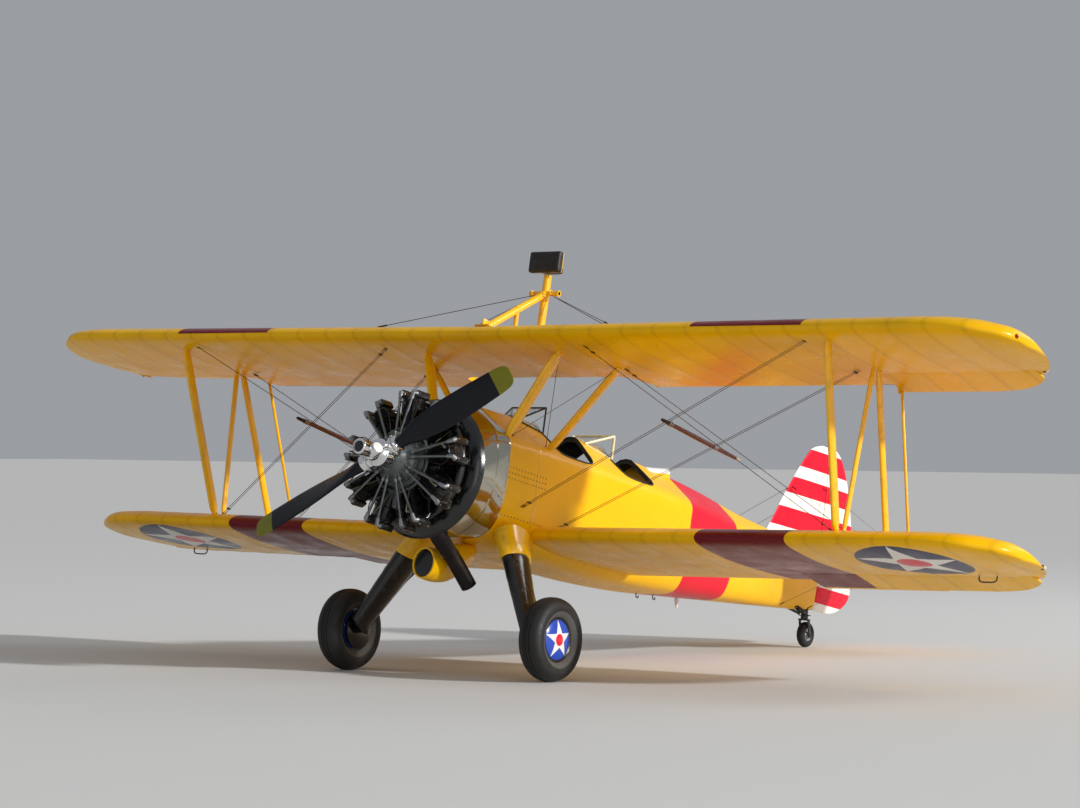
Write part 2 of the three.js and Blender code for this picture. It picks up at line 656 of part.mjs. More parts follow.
// Interplane struts: name, spar at the top, spar at the foot, chord, thickness
const INTERPLANE = [
  ["front", FRONT_SPAR, FRONT_SPAR, 112, 42],
  ["diagonal", REAR_SPAR - 66, FRONT_SPAR + 84, 64, 30],
  ["rear", REAR_SPAR, REAR_SPAR, 88, 38],
];
for (const [name, topAft, footAft, chord, thick] of INTERPLANE) {
  const [foot, head] = [onWing(LOWER, STRUT_FOOT_X, footAft, 40), onWing(UPPER, STRUT_TOP_X, topAft, 0)];
  const body = strut(foot, head, chord, thick).subtract(upperSeat).subtract(lowerSeat);
  for (const [side, sign] of sides) {
    add(`strut_${name}_${side}`, bodyOnSide(body, sign), yellow);
  }
}

// Cabane struts: name, foot x, y, z, top x, distance aft on the wing, chord, thickness
const CABANE = [
  ["front", 352, -40, 1625, 704, 385, 128, 46],
  ["rear", 352, 550, 1625, 1010, 840, 102, 42],
];
for (const [name, x, y, z, topX, topAft, chord, thick] of CABANE) {
  const foot = v3(x, y, z);
  const body = strut(foot, onWing(UPPER, topX, topAft, 0), chord, thick)
    .subtract(upperSeat).subtract(hullSeat).subtract(cowlSeat);
  for (const [side, sign] of sides) {
    add(`cabane_${name}_${side}`, bodyOnSide(body, sign), yellow);
  }
}

// Flying wires: name, root x, y, z, spar at the top; each pair is two flat wires joined at its ends
const FLYING_WIRES = [
  ["front", 440, 190, 1101, FRONT_SPAR - 30],
  ["rear", 440, 724, 1024, REAR_SPAR - 34],
];
const WIRE_R = 5;
const WIRE_APART = 30;
for (const [name, x, y, z, spar] of FLYING_WIRES) {
  const root = v3(x - 20, y, z);
  const top = onWing(UPPER, STRUT_TOP_X - 110, spar, -20);
  let pair = rod(root, top, WIRE_R, 5)
    .add(rod(root.clone().setY(y + WIRE_APART), top.clone().setY(top.y + WIRE_APART), WIRE_R, 5));
  const along = top.clone().sub(root).normalize();
  for (const [end, step] of [[root, 90], [top, -90]]) {
    const at = end.clone().addScaledVector(along, step);
    pair = pair.add(rod(at.clone().setY(at.y - 10), at.clone().setY(at.y + WIRE_APART + 10), 10, 6));
  }
  pair = pair.subtract(hullSeat).subtract(upperSeat);
  for (const [side, sign] of sides) {
    add(`flying_wires_${name}_${side}`, bodyOnSide(pair, sign), steel);
  }
}

// Landing gear: a faired upper leg, a black lower leg with its axle, wheel and tyre
const LEG_TOP = v3(400, 90, 880);
const LEG_SPLIT = v3(543, 64, 650);
const LEG_FOOT = v3(868, -64, 60);
const AXLE_R = 26;
const HUB_R = 182;

function legRing(centre, forward, aft, thick) {
  const outward2 = v3(0.87, 0, 0.49);
  return [
    [-forward, 0], [-forward * 0.72, 0.36], [-forward * 0.2, 0.5], [aft * 0.45, 0.42], [aft, 0],
    [aft * 0.45, -0.42], [-forward * 0.2, -0.5], [-forward * 0.72, -0.36],
  ].map(([c, t]) => centre.clone().add(v3(0, c, 0)).addScaledVector(outward2, t * thick));
}

const LEG_WAIST = v3(440, 86, 800);
const fairing = toSolid(loft([
  legRing(LEG_TOP, 140, 330, 200), legRing(LEG_WAIST, 165, 300, 195), legRing(LEG_SPLIT, 180, 190, 182),
])).subtract(hullSeat).subtract(lowerSeat);
const LEG_GAP = LEG_FOOT.clone().sub(LEG_SPLIT).normalize().multiplyScalar(SEAT);
let leg = toSolid(loft([
  legRing(LEG_SPLIT.clone().add(LEG_GAP), 170, 178, 164), legRing(LEG_FOOT, 112, 130, 122),
]));
const shinFoot = v3(872, 0, -20);
leg = leg.add(toSolid(loft([legRing(LEG_FOOT, 112, 130, 122), legRing(shinFoot, 70, 70, 80)])));
leg = leg.add(rod(v3(850, 0, 0), v3(HALF_TRACK + 40, 0, 0), AXLE_R, 24));

const tyreProfile = [
  [HUB_R + SEAT, -70], [HUB_R + 22, -86], [250, -TYRE_WIDTH / 2], [292, -98], [322, -70], [TYRE_R, -30],
];
const tyreRing = [...tyreProfile, ...tyreProfile.map(([r, h]) => [r, -h]).reverse(), tyreProfile[0]];
const WHEEL_SEGMENTS = 32;
const wheelBore = boreR(AXLE_R, WHEEL_SEGMENTS);
const hubRing = [
  [0, 88], [70, 86], [HUB_R, 66], [HUB_R, -66], [90, -70], [wheelBore, -70], [wheelBore, 44], [0, 44],
];

for (const [side, sign] of sides) {
  add(`gear_fairing_${side}`, bodyOnSide(fairing, sign), yellow);
  add(`gear_leg_${side}`, bodyOnSide(leg, sign), black);
  const at = v3(sign * HALF_TRACK, 0, 0);
  const hinge = hingeAt(`wheel_${side}_axle`, at, v3(1, 0, 0));
  const outer = v3(sign, 0, 0);
  add(`wheel_${side}`, turned(hubRing, outer, at, WHEEL_SEGMENTS), blue, hinge);
  add(`tyre_${side}`, turned(tyreRing, outer, at, WHEEL_SEGMENTS), rubber, hinge);
}

// Level section of the rudder: thickest on its hinge line, with a blunt nose
function rudderRing(z, rear, thick) {
  const middle = (RUDDER_Y + rear) / 2;
  return [
    v3(0, RUDDER_Y - thick / 2, z), v3(-thick / 2, RUDDER_Y, z), v3(-thick * 0.36, middle, z),
    v3(-3, rear, z),
    v3(3, rear, z), v3(thick * 0.36, middle, z), v3(thick / 2, RUDDER_Y, z),
  ];
}

// Fin: height, leading edge, rear edge, thickness
const fin = toSolid(loft([
  [1500, 4400, FIN_REAR, 46], [1740, 4560, FIN_REAR, 44], [2180, 4832, FIN_REAR, 38],
  [2560, 5108, FIN_REAR, 30], [2650, 5215, FIN_REAR, 22], [2698, 5360, FIN_REAR, 12],
].map(([z, front, rear, thick]) => {
  const length = rear - front;
  return [
    v3(0, front, z), v3(-thick * 0.4, front + 0.12 * length, z), v3(-thick / 2, rear, z),
    v3(thick / 2, rear, z), v3(thick * 0.4, front + 0.12 * length, z),
  ];
}))).subtract(hullSeat);
add("fin", fin.add(rudderLug(RUDDER_LUG.finZ)), red);

// Rudder: height, trailing edge, thickness at the hinge
const RUDDER = [
  [1140, 5700, 20], [1170, 5880, 34], [1250, 6040, 44], [1366, 6144, 50], [1560, 6150, 50], [2015, 6056, 48],
  [2350, 5925, 40], [2560, 5800, 32], [2670, 5690, 22], [2705, 5600, 10],
];
const rudderHinge = hingeAt("rudder_hinge", v3(0, RUDDER_Y, 1500), v3(0, 0, 1));
const rudder = toSolid(loft(RUDDER.map(([z, rear, thick]) => rudderRing(z, rear, thick))))
  .subtract(rudderNotch(RUDDER_LUG.fuselageZ)).subtract(rudderNotch(RUDDER_LUG.finZ));
add("rudder", rudder, red, rudderHinge);

// Tailplane plan: span x, leading edge, hinge line, thickness
const TAILPLANE = [
  [20, 4620, 64], [500, 4690, 60], [1100, 4800, 50], [1500, 4900, 38], [1690, 4990, 28], [1780, 5110, 16],
  [TAIL_HALF_SPAN, 5220, 8],
];
const tailplane = toSolid(loft(TAILPLANE.map(([x, front, thick]) => {
  const rear = ELEVATOR_Y - ELEVATOR_NOSE - RUNNING;
  const length = rear - front;
  return [
    v3(x, front, TAILPLANE_Z), v3(x, front + 0.1 * length, TAILPLANE_Z + thick * 0.36),
    v3(x, front + 0.5 * length, TAILPLANE_Z + thick / 2), v3(x, rear, TAILPLANE_Z + thick * 0.4),
    v3(x, rear, TAILPLANE_Z - thick * 0.4), v3(x, front + 0.5 * length, TAILPLANE_Z - thick / 2),
    v3(x, front + 0.1 * length, TAILPLANE_Z - thick * 0.36),
  ];
}))).subtract(hullSeat);
for (const [side, sign] of sides) {
  add(`tailplane_${side}`, bodyOnSide(tailplane, sign), yellow);
}

// Elevator: span x, trailing edge, thickness at the hinge; both halves share a torque tube
const ELEVATOR = [
  [110, 5560, 46], [260, 5830, 46], [900, 5835, 44], [1400, 5800, 36], [1640, 5730, 26], [1760, 5620, 16],
  [TAIL_HALF_SPAN, 5500, 8],
];
const elevatorHalf = toSolid(loft(ELEVATOR.map(([x, rear, thick]) => {
  const length = rear - ELEVATOR_Y;
  return [
    v3(x, ELEVATOR_Y - Math.min(thick / 2, ELEVATOR_NOSE), TAILPLANE_Z),
    v3(x, ELEVATOR_Y, TAILPLANE_Z + thick / 2),
    v3(x, ELEVATOR_Y + 0.5 * length, TAILPLANE_Z + thick * 0.34), v3(x, rear, TAILPLANE_Z + 3),
    v3(x, rear, TAILPLANE_Z - 3), v3(x, ELEVATOR_Y + 0.5 * length, TAILPLANE_Z - thick * 0.34),
    v3(x, ELEVATOR_Y, TAILPLANE_Z - thick / 2),
  ];
})));
const elevatorHinge = hingeAt("elevator_hinge", v3(0, ELEVATOR_Y, TAILPLANE_Z), v3(1, 0, 0));
const elevator = elevatorHalf.add(bodyOnSide(elevatorHalf, -1)).add(torqueTube(160, TORQUE_TUBE_R));
add("elevator", elevator, yellow, elevatorHinge);

// Propeller: a hub with its dome, and two blades
const propHinge = hingeAt("propeller_shaft", onThrust(PROP_Y), v3(0, -1, 0));
const forwardAxis = v3(0, -1, 0);
const HUB_SEGMENTS = 24;
const hubBore = boreR(SHAFT_R, HUB_SEGMENTS);
const bladeDirection = (turn) => v3(Math.cos(BLADE_REST + turn), 0, Math.sin(BLADE_REST + turn));
let propHub = turned([
  [hubBore, -58], [95, -58], [112, -40], [112, 48], [78, 70], [70, 100], [78, 106], [78, 150], [92, 160],
  [92, 262], [80, 290], [40, 303], [0, 307], [0, 46], [hubBore, 46], [hubBore, -58],
], forwardAxis, onThrust(PROP_Y), HUB_SEGMENTS);
for (const turn of [0, Math.PI]) {
  const out = bladeDirection(turn);
  const from = onThrust(PROP_Y).addScaledVector(out, 60);
  propHub = propHub.add(rod(from, onThrust(PROP_Y).addScaledVector(out, 190), 60, 16));
}
propHub = propHub.subtract(rod(onThrust(PROP_Y + 70), onThrust(PROP_Y - 46), hubBore, HUB_SEGMENTS));
add("prop_hub", propHub, polished, propHinge);

// Blade: radius, chord, thickness, pitch in degrees
const BLADE = [
  [190 + SEAT, 104, 104, 45], [260, 116, 92, 44], [380, 178, 58, 40], [600, 222, 34, 32], [850, 226, 24, 25],
  [1100, 210, 17, 20], [1240, 196, 13, 18], [1305, 172, 10, 17], [1336, 130, 9, 17], [PROP_R, 70, 7, 17],
];
for (const [name, turn] of [["a", 0], ["b", Math.PI]]) {
  const out = bladeDirection(turn);
  const sideways = v3().crossVectors(forwardAxis, out).normalize();
  const rings = BLADE.map(([radius, chord, thick, pitch]) => {
    const tilt = pitch * Math.PI / 180;
    const [c, s] = [Math.cos(tilt), Math.sin(tilt)];
    const along = sideways.clone().multiplyScalar(c).addScaledVector(forwardAxis, s);
    const flat = sideways.clone().multiplyScalar(-s).addScaledVector(forwardAxis, c);
    return Array.from({ length: 12 }, (_, i) => {
      const angle = 2 * Math.PI * i / 12;
      return onThrust(PROP_Y).addScaledVector(out, radius)
        .addScaledVector(along, chord / 2 * Math.cos(angle))
        .addScaledVector(flat, thick / 2 * Math.sin(angle));
    });
  });
  add(`prop_blade_${name}`, toSolid(loft(rings)), navy, propHinge);
}

// Tail wheel: a bracket under the tail, a swivelling fork with its spring, the wheel
const TAIL_WHEEL = v3(0, 5448, 896);
const SWIVEL_Y = 5395;
const SWIVEL_TOP = 1085;
const SPINDLE_R = 16;
let bracket = strut(v3(0, 5060, 1125), v3(0, SWIVEL_Y - 12, SWIVEL_TOP + 60), 60, 44);
bracket = bracket.add(rod(v3(0, SWIVEL_Y, 1180), v3(0, SWIVEL_Y, SWIVEL_TOP), 30, 16));
bracket = bracket.add(rod(v3(0, SWIVEL_Y, SWIVEL_TOP + 5), v3(0, SWIVEL_Y, SWIVEL_TOP - 34), SPINDLE_R, 16));
add("tail_wheel_bracket", bracket.subtract(hullSeat), black);

const steerHinge = hingeAt("tail_wheel_swivel", v3(0, SWIVEL_Y, SWIVEL_TOP - 40), v3(0, 0, 1));
const FORK_HALF = 48;
const FORK_AXLE_R = 9;
const spindleBore = boreR(SPINDLE_R, 16);
let fork = turned([
  [0, -62], [34, -62], [34, -BEARING], [spindleBore, -BEARING], [spindleBore, -38], [0, -38],
], v3(0, 0, 1), v3(0, SWIVEL_Y, SWIVEL_TOP), 16);
fork = fork.add(box(2 * FORK_HALF + 14, 60, 12, v3(0, SWIVEL_Y + 4, SWIVEL_TOP - 56)));
for (const sign of [-1, 1]) {
  const low = v3(sign * FORK_HALF, TAIL_WHEEL.y, TAIL_WHEEL.z - 14);
  fork = fork.add(strut(low, v3(sign * FORK_HALF, SWIVEL_Y + 4, SWIVEL_TOP - 54), 44, 14));
}
const axleEnd = (sign) => v3(sign * FORK_HALF, TAIL_WHEEL.y, TAIL_WHEEL.z);
fork = fork.add(rod(axleEnd(-1), axleEnd(1), FORK_AXLE_R, 16));
add("tail_wheel_fork", fork, darkSteel, steerHinge);

const tailHinge = hingeAt("tail_wheel_axle", TAIL_WHEEL, v3(1, 0, 0));
const tailBore = boreR(FORK_AXLE_R, 16);
add("tail_wheel", turned([
  [tailBore, -32], [40, -32], [60, -24], [72, -36], [100, -34], [116, -18], [TAIL_TYRE_R, 0],
  [116, 18], [100, 34], [72, 36], [60, 24], [40, 32], [tailBore, 32], [tailBore, -32],
], v3(1, 0, 0), TAIL_WHEEL, 32), rubber, tailHinge);

// Aileron links: an eye on each lower aileron's horn pin; the upper end is open beside the upper horn
for (const [side, sign] of sides) {
  const low = hornPin("lower", 1);
  const high = hornPin("upper", -1);
  const eyes = [low, high].map((point, i) => {
    const pivot = wingHinges[`${["lower", "upper"][i]}_${side}`];
    const rest = new THREE.Matrix4().makeRotationAxis(pivot.group.userData.axis, -sign * AILERON_REST);
    point.x *= sign;
    return point.sub(pivot.at).applyMatrix4(rest).add(pivot.at);
  });
  const axis = wingHinges[`lower_${side}`].group.userData.axis;
  const hinge = hingeAt(`aileron_link_${side}_eye`, eyes[0], axis);
  const half = axis.clone().multiplyScalar(LINK_THICK / 2);
  const beside = (reach) => eyes[0].clone().addScaledVector(half, reach);
  const acrossEye = (reach, radius) => rod(beside(-reach), beside(reach), radius, 12);
  const link = strut(eyes[0], eyes[1], 40, LINK_THICK).add(acrossEye(1, 15))
    .subtract(acrossEye(3, boreR(HORN_PIN_R, 12)));
  add(`aileron_link_${side}`, link, yellow, hinge);
}

// Rig on the upper wing: a front brace, a rear post with a padded rest, and base plates
const upperTop = (y) => {
  const aft = y - UPPER.leY;
  return onWing(UPPER, 0, aft, aerofoilPoint(aft / CHORD, 1)[1] * CHORD);
};
const postFoot = upperTop(700);
const braceFoot = upperTop(-60);
let rig = strut(v3(0, 700, postFoot.z - 20), v3(0, 716, 3215), 84, 60);
rig = rig.add(rod(v3(0, braceFoot.y, braceFoot.z - 10), v3(0, 700, 3030), 32, 12));
rig = rig.add(rod(v3(0, 345, upperTop(345).z - 10), v3(0, 345, 2840), 20, 10));
rig = rig.add(box(300, 40, 40, v3(0, 700, 3030)));
for (const y of [-60, 345, 700]) {
  const plate = upperTop(y);
  rig = rig.add(box(150, 110, 26, v3(0, y, plate.z)));
}
add("rig_frame", rig.subtract(upperSeat), yellow);
add("rig_pad", box(330, 70, 190, v3(0, 690 - 35, 3295)).add(box(200, 150, 60, v3(0, 720, 3246 + SEAT)))
  .subtract(strut(v3(0, 700, postFoot.z), v3(0, 716, 3215 + SEAT), 84 + SEAT, 60 + SEAT)), leather);

// Stand the airframe on its wheels, with the origin on the ground midway between nose and tail
airframe.rotation.x = -PITCH;
airframe.position.z = TYRE_R;
group.updateMatrixWorld(true);
const extent = new THREE.Box3().setFromObject(group, true);
airframe.position.y = -(extent.min.y + extent.max.y) / 2;
group.updateMatrixWorld(true);

export default group;
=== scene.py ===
# %% [markdown]
# A show biplane, piece by piece
#
# This lesson dresses the plain solids of a two-seat biplane trainer until they look like the painted,
# polished and oil-stained real thing. Everything is in metres. The solids arrive in one shared frame:
# x to the aircraft's left wing tip, y aft, z up, and the aircraft stands tail down on three wheels.

# %% Load the solids
import bpy
import bmesh
import functools
import math
from mathutils import Matrix, Vector


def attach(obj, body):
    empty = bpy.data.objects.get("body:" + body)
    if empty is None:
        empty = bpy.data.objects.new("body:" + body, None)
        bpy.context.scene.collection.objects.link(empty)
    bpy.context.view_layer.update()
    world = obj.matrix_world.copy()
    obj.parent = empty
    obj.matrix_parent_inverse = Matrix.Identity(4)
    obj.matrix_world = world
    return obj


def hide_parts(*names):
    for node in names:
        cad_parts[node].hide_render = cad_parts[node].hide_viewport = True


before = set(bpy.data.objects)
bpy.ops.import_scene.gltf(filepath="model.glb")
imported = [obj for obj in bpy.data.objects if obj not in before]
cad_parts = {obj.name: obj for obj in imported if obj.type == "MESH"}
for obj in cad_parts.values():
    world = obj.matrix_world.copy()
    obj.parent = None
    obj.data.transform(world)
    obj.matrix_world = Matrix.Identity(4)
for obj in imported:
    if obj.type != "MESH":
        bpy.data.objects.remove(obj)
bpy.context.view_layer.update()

# %% [markdown]
# The camera stands far back with a long lens, a little below the top of the cockpit sides, so the wings
# show their undersides. Its place was solved from wing tips, struts and wheels. A matrix built from the
# three viewing directions is exact, where a tracking constraint would have to be baked afterwards.

# %% Camera
CAMERA_PLACE = Vector((17.185, -24.805, 1.908))
CAMERA_YAW, CAMERA_PITCH, CAMERA_ROLL = (math.radians(a) for a in (36.21, 0.64, 0.57))
SENSOR_MM, LENS_MM = 36, 114.8

forward = Vector((
    -math.sin(CAMERA_YAW) * math.cos(CAMERA_PITCH),
    math.cos(CAMERA_YAW) * math.cos(CAMERA_PITCH),
    math.sin(CAMERA_PITCH),
))
level_right = Vector((math.cos(CAMERA_YAW), math.sin(CAMERA_YAW), 0))
level_up = level_right.cross(forward)
right = level_right * math.cos(CAMERA_ROLL) + level_up * math.sin(CAMERA_ROLL)
up = level_up * math.cos(CAMERA_ROLL) - level_right * math.sin(CAMERA_ROLL)

camera = bpy.data.objects.new("camera", bpy.data.cameras.new("camera"))
camera.data.sensor_width = SENSOR_MM
camera.data.lens = LENS_MM
camera.data.clip_end = 500
camera.matrix_world = Matrix.Translation(CAMERA_PLACE) @ Matrix((right, up, -forward)).transposed().to_4x4()
bpy.context.scene.collection.objects.link(camera)
bpy.context.scene.camera = camera

# %% [markdown]
# The aircraft is easiest to draw level, as its drawings are: the origin on the main axle, y aft and z up.
# Every piece is modelled there and then stood on its wheels by one matrix. Paint schemes are drawn level
# too, so a Mapping node turns the object's coordinates back to the level airframe, in millimetres.

# %% From the level airframe to the ground
PITCH = math.radians(11.6)
SHIFT_Y = -2.572885
TYRE_R = 0.338
STANCE = Matrix.Translation((0, SHIFT_Y, TYRE_R)) @ Matrix.Rotation(-PITCH, 4, "X")
MM = 0.001

# %% [markdown]
# A finish is a small tree of nodes. One helper turns the hex value of a paint chip to the linear colour
# that the shader wants. A number that the shader works out takes the usual signs, and each sign adds a
# Math node. A paint holds its material and adds the other nodes.

# %% Helpers for finishes
def chip(hex_value):
    """Linear colour of an sRGB hex value."""
    parts = [int(hex_value[i:i + 2], 16) / 255 for i in (0, 2, 4)]
    linear = [c / 12.92 if c <= 0.04045 else ((c + 0.055) / 1.055) ** 2.4 for c in parts]
    return (*linear, 1.0)


class Number:
    """A number that the shader works out."""

    def __init__(self, paint, socket):
        self.paint, self.socket = paint, socket

    def doing(self, operation, other=0.0):
        return Number(self.paint, self.paint.add("Math", {0: self, 1: other}, operation=operation).outputs[0])

    def __add__(self, other):
        return self.doing("ADD", other)

    def __sub__(self, other):
        return self.doing("SUBTRACT", other)

    def __mul__(self, other):
        return self.doing("MULTIPLY", other)

    def __gt__(self, other):
        return self.doing("GREATER_THAN", other)

    def __lt__(self, other):
        return self.doing("LESS_THAN", other)

    def spread(self, low, high, to_low=0.0, to_high=1.0):
        """The number brought from one range to another, and kept in it."""
        inputs = {0: self, 1: low, 2: high, 3: to_low, 4: to_high}
        return Number(self.paint, self.paint.add("MapRange", inputs).outputs[0])


class Paint:
    """A material; the shader's sockets are named with underscores for their spaces."""

    def __init__(self, name, **inputs):
        self.material = bpy.data.materials.new(name)
        self.material.use_nodes = True
        self.tree = self.material.node_tree
        self.feed(**inputs)

    def put(self, node, inputs):
        """Links numbers and sockets to a node's inputs, and sets plain values."""
        for name, source in inputs.items():
            source = getattr(source, "socket", source)
            if isinstance(source, bpy.types.NodeSocket):
                self.tree.links.new(source, node.inputs[name])
            else:
                node.inputs[name].default_value = source
        return node

    def feed(self, **inputs):
        shader = self.tree.nodes["Principled BSDF"]
        self.put(shader, {name.replace("_", " "): source for name, source in inputs.items()})

    def add(self, kind, inputs=(), **settings):
        node = self.tree.nodes.new("ShaderNode" + kind)
        for name, value in settings.items():
            setattr(node, name, value)
        return self.put(node, dict(inputs))

    @functools.cached_property
    def place(self):
        """Where a point is on the level airframe, in millimetres."""
        here = self.add("TexCoord").outputs["Object"]
        back = STANCE.inverted().translation
        turned = self.add("Mapping", {"Vector": here, "Location": back, "Rotation": (PITCH, 0, 0)}).outputs[0]
        return self.add("VectorMath", {0: turned, "Scale": 1000}, operation="SCALE").outputs[0]

    @functools.cached_property
    def xyz(self):
        return [Number(self, socket) for socket in self.add("SeparateXYZ", {0: self.place}).outputs]

    def noise(self, scale_mm, detail=3, stretch=(1, 1, 1)):
        """Noise whose patches are about scale_mm across, longer where stretch is below one."""
        at = self.add("Mapping", {"Scale": stretch, "Vector": self.place}).outputs[0]
        inputs = {"Scale": 1 / scale_mm, "Detail": detail, "Vector": at}
        return Number(self, self.add("TexNoise", inputs).outputs["Fac"])

    def blend(self, factor, first, second):
        """Colour that goes from first to second."""
        return self.add("Mix", {0: factor, 6: first, 7: second}, data_type="RGBA").outputs[2]

    def bump(self, height, strength, distance, under=None):
        """Raised surface, on top of another one if that is given."""
        inputs = {"Height": height, "Strength": strength, "Distance": distance}
        if under is not None:
            inputs["Normal"] = under
        return self.add("Bump", inputs).outputs[0]

# %% [markdown]
# Doped fabric is the first finish: cotton or polyester cloth shrunk over ribs and stringers, filled with
# dope and sprayed with gloss colour. The eye sees a deep even colour, a soft gloss that wanders a little
# with the tautness of the cloth, and a faint weave. The weave is drawn ten times too coarse, or it would
# not show. Dust and thinned oil darken it in long uneven patches.

# %% Doped fabric
YELLOW = chip("fbbe00")
RED = chip("e0122e")
WHITE = chip("ece9e2")
NAVY = chip("14224e")
# Red of the wings' band, darkened as painted shade
BAND_RED_IN_PAINTED_SHADE = chip("72101c")
# A weak gloss: seen along the wing, a strong one would show the pale floor and not the paint
DOPE_GLOSS = {"Coat_Weight": 0.05, "Coat_Roughness": 0.12, "Specular_IOR_Level": 0.18}


def doped(paint, colour):
    """Colour and gloss of doped cloth; gives back its raised weave."""
    grime = paint.noise(700, 4, (1, 0.35, 1)).spread(0.48, 0.75, 0, 0.35)
    dark = paint.blend(0.45, colour, chip("4a3a14"))
    paint.feed(Base_Color=paint.blend(grime, colour, dark),
               Roughness=paint.noise(220).spread(0.3, 0.7, 0.23, 0.4))
    return paint.bump(paint.noise(5, 2), 0.12, 0.0008)

# %% [markdown]
# Sheet metal carries the same yellow, but it is flat and glossier: struts, fairings and the gear. Black
# enamel is on the legs, the baffle and the small fittings. Both get chips and dust from noise that is as
# large as a thumb print.

# %% Enamels on metal
def enamel(name, colour, roughness, wear_hex, wear, scale_mm=90):
    """Gloss enamel on sheet or tube: faint orange peel, and grime where hands and oil reach."""
    paint = Paint(name, Coat_Weight=0.3, Coat_Roughness=0.08)
    patches = paint.noise(scale_mm, 5).spread(0.52, 0.72, 0, wear)
    paint.feed(
        Base_Color=paint.blend(patches, colour, chip(wear_hex)),
        Roughness=patches.spread(0, wear, roughness, roughness + 0.2),
        Normal=paint.bump(paint.noise(3, 1), 0.05, 0.0004),
    )
    return paint


yellow_enamel = enamel("yellow_enamel_on_steel", YELLOW, 0.24, "7a5a10", 0.3)
black_enamel = enamel("black_enamel_on_steel", chip("0b0c0e"), 0.22, "2c2a26", 0.4)
cream_enamel = enamel("cream_enamel_on_steel", chip("e8dfb4"), 0.3, "8c7f58", 0.3)
white_enamel = enamel("white_enamel_on_aluminium", WHITE, 0.3, "8f8b80", 0.3)
case_enamel = enamel("grey_engine_enamel", chip("474d4c"), 0.35, "15130f", 0.6, 50)
iron = enamel("black_baked_cylinder_enamel", chip("0d0d0e"), 0.25, "3a342c", 0.5, 40)

# %% [markdown]
# Bare metals come next. The nose cowl is polished aluminium sheet that mirrors the floor and the sky, so
# it needs a very low roughness, fine circular swirls from polishing and a trace of oil film. Its grey is
# darkened and warmed as a painted reflection of the yellow wing above it. The propeller's dome is chromium
# plate: no colour, hardly any roughness.

# %% Bare metals
def bare_metal(name, hex_value, roughness, swirl_mm, swirl, film):
    """Metal whose roughness wanders with polishing marks, under a thin brown film of oil."""
    paint = Paint(name, Metallic=1.0)
    marks = paint.noise(swirl_mm, 4, (1, 0.2, 1))
    oil = paint.noise(260, 4).spread(0.5, 0.8, 0, film)
    paint.feed(Roughness=marks.spread(0.3, 0.75, roughness, roughness + swirl),
               Base_Color=paint.blend(oil, chip(hex_value), chip("6b5a40")))
    return paint


# Grey darkened and warmed: painted reflection of the yellow wing above the cowl
polished_aluminium = bare_metal("polished_aluminium_sheet", "b2ae9e", 0.06, 40, 0.12, 0.15)
chrome = bare_metal("chromium_plate", "e6e8ea", 0.03, 60, 0.05, 0.05)
cast_aluminium = bare_metal("sand_cast_aluminium", "9a9c9c", 0.38, 12, 0.2, 0.4)
bright_steel = bare_metal("ground_steel_tube", "b4b6b8", 0.2, 30, 0.15, 0.3)
dull_steel = bare_metal("oiled_steel_tube", "7e8082", 0.3, 30, 0.15, 0.5)
wire_steel = bare_metal("streamlined_steel_wire", "4e423b", 0.3, 50, 0.15, 0.5)
burnt_steel = bare_metal("heat_stained_exhaust_steel", "2e2a2a", 0.3, 90, 0.25, 0.35)

# %% [markdown]
# Rubber, leather, glass and cloth finish the set. Tyre rubber is nearly black and dull, greyed by dust on
# the tread. Leather has a pebbled grain of about 1.5 mm, drawn at 4 mm so that it shows. Windscreens are
# clear acrylic with a faint blue and a low roughness.

# %% Soft and clear finishes
def grained(name, hex_value, worn_hex, roughness, grain_mm, depth):
    """Leather or rubber: a pebbled surface, paler where it is rubbed."""
    paint = Paint(name)
    worn = paint.noise(60, 4).spread(0.45, 0.75, 0, 0.5)
    cells = paint.add("TexVoronoi", {"Scale": 1 / grain_mm, "Vector": paint.place}).outputs["Distance"]
    paint.feed(
        Base_Color=paint.blend(worn, chip(hex_value), chip(worn_hex)),
        Roughness=worn.spread(0, 0.5, roughness, roughness + 0.12),
        Normal=paint.bump(cells, 0.4, depth),
    )
    return paint


def lens_glass(name, hex_value, roughness, clear):
    return Paint(name, Base_Color=chip(hex_value), Roughness=roughness, Transmission_Weight=clear)


tyre_rubber = grained("dusty_tyre_rubber", "0d0d0e", "2b2925", 0.72, 6, 0.0005)
brown_leather = grained("brown_saddle_leather", "5a3420", "8a5c3a", 0.5, 4, 0.0006)
black_leather = grained("black_padded_leather", "15120f", "38302a", 0.48, 4, 0.0006)
webbing = grained("olive_cotton_webbing", "5d5a3c", "7d795a", 0.85, 3, 0.0004)
# Grey-green darkened almost to black: painted shade inside the cockpits
interior_paint_with_painted_shade = grained("grey_green_interior_paint", "262a20", "383d30", 0.65, 25, 0.0002)
dial_black = grained("crackle_black_panel_paint", "111213", "26272a", 0.55, 3, 0.0003)
red_lens = lens_glass("red_lamp_glass", "b00d12", 0.1, 0.5)
green_lens = lens_glass("green_lamp_glass", "0c8a3a", 0.1, 0.5)
clear_lens = lens_glass("clear_lamp_glass", "f4f4ee", 0.12, 0.4)
clear_acrylic = lens_glass("clear_acrylic_sheet", "e6f0f2", 0.03, 1.0)
clear_acrylic.feed(IOR=1.49, Alpha=0.45)

# %% [markdown]
# Modelling starts with a few hand moves that every piece uses. A section is a circle primitive whose
# points are put in place, and it is extruded from section to section, which keeps the mesh in clean
# quads. Turned parts and pipes are the same thing with round sections.

# %% Hand moves
def to_mode(mode):
    if bpy.context.object and bpy.context.object.mode != mode:
        bpy.ops.object.mode_set(mode=mode)


def deselect():
    to_mode("OBJECT")
    bpy.ops.object.select_all(action="DESELECT")


def active(piece):
    deselect()
    piece.select_set(True)
    bpy.context.view_layer.objects.active = piece
    return piece


def edit_all(piece):
    """Opens a piece in edit mode with everything selected."""
    active(piece)
    to_mode("EDIT")
    bpy.ops.mesh.select_all(action="SELECT")


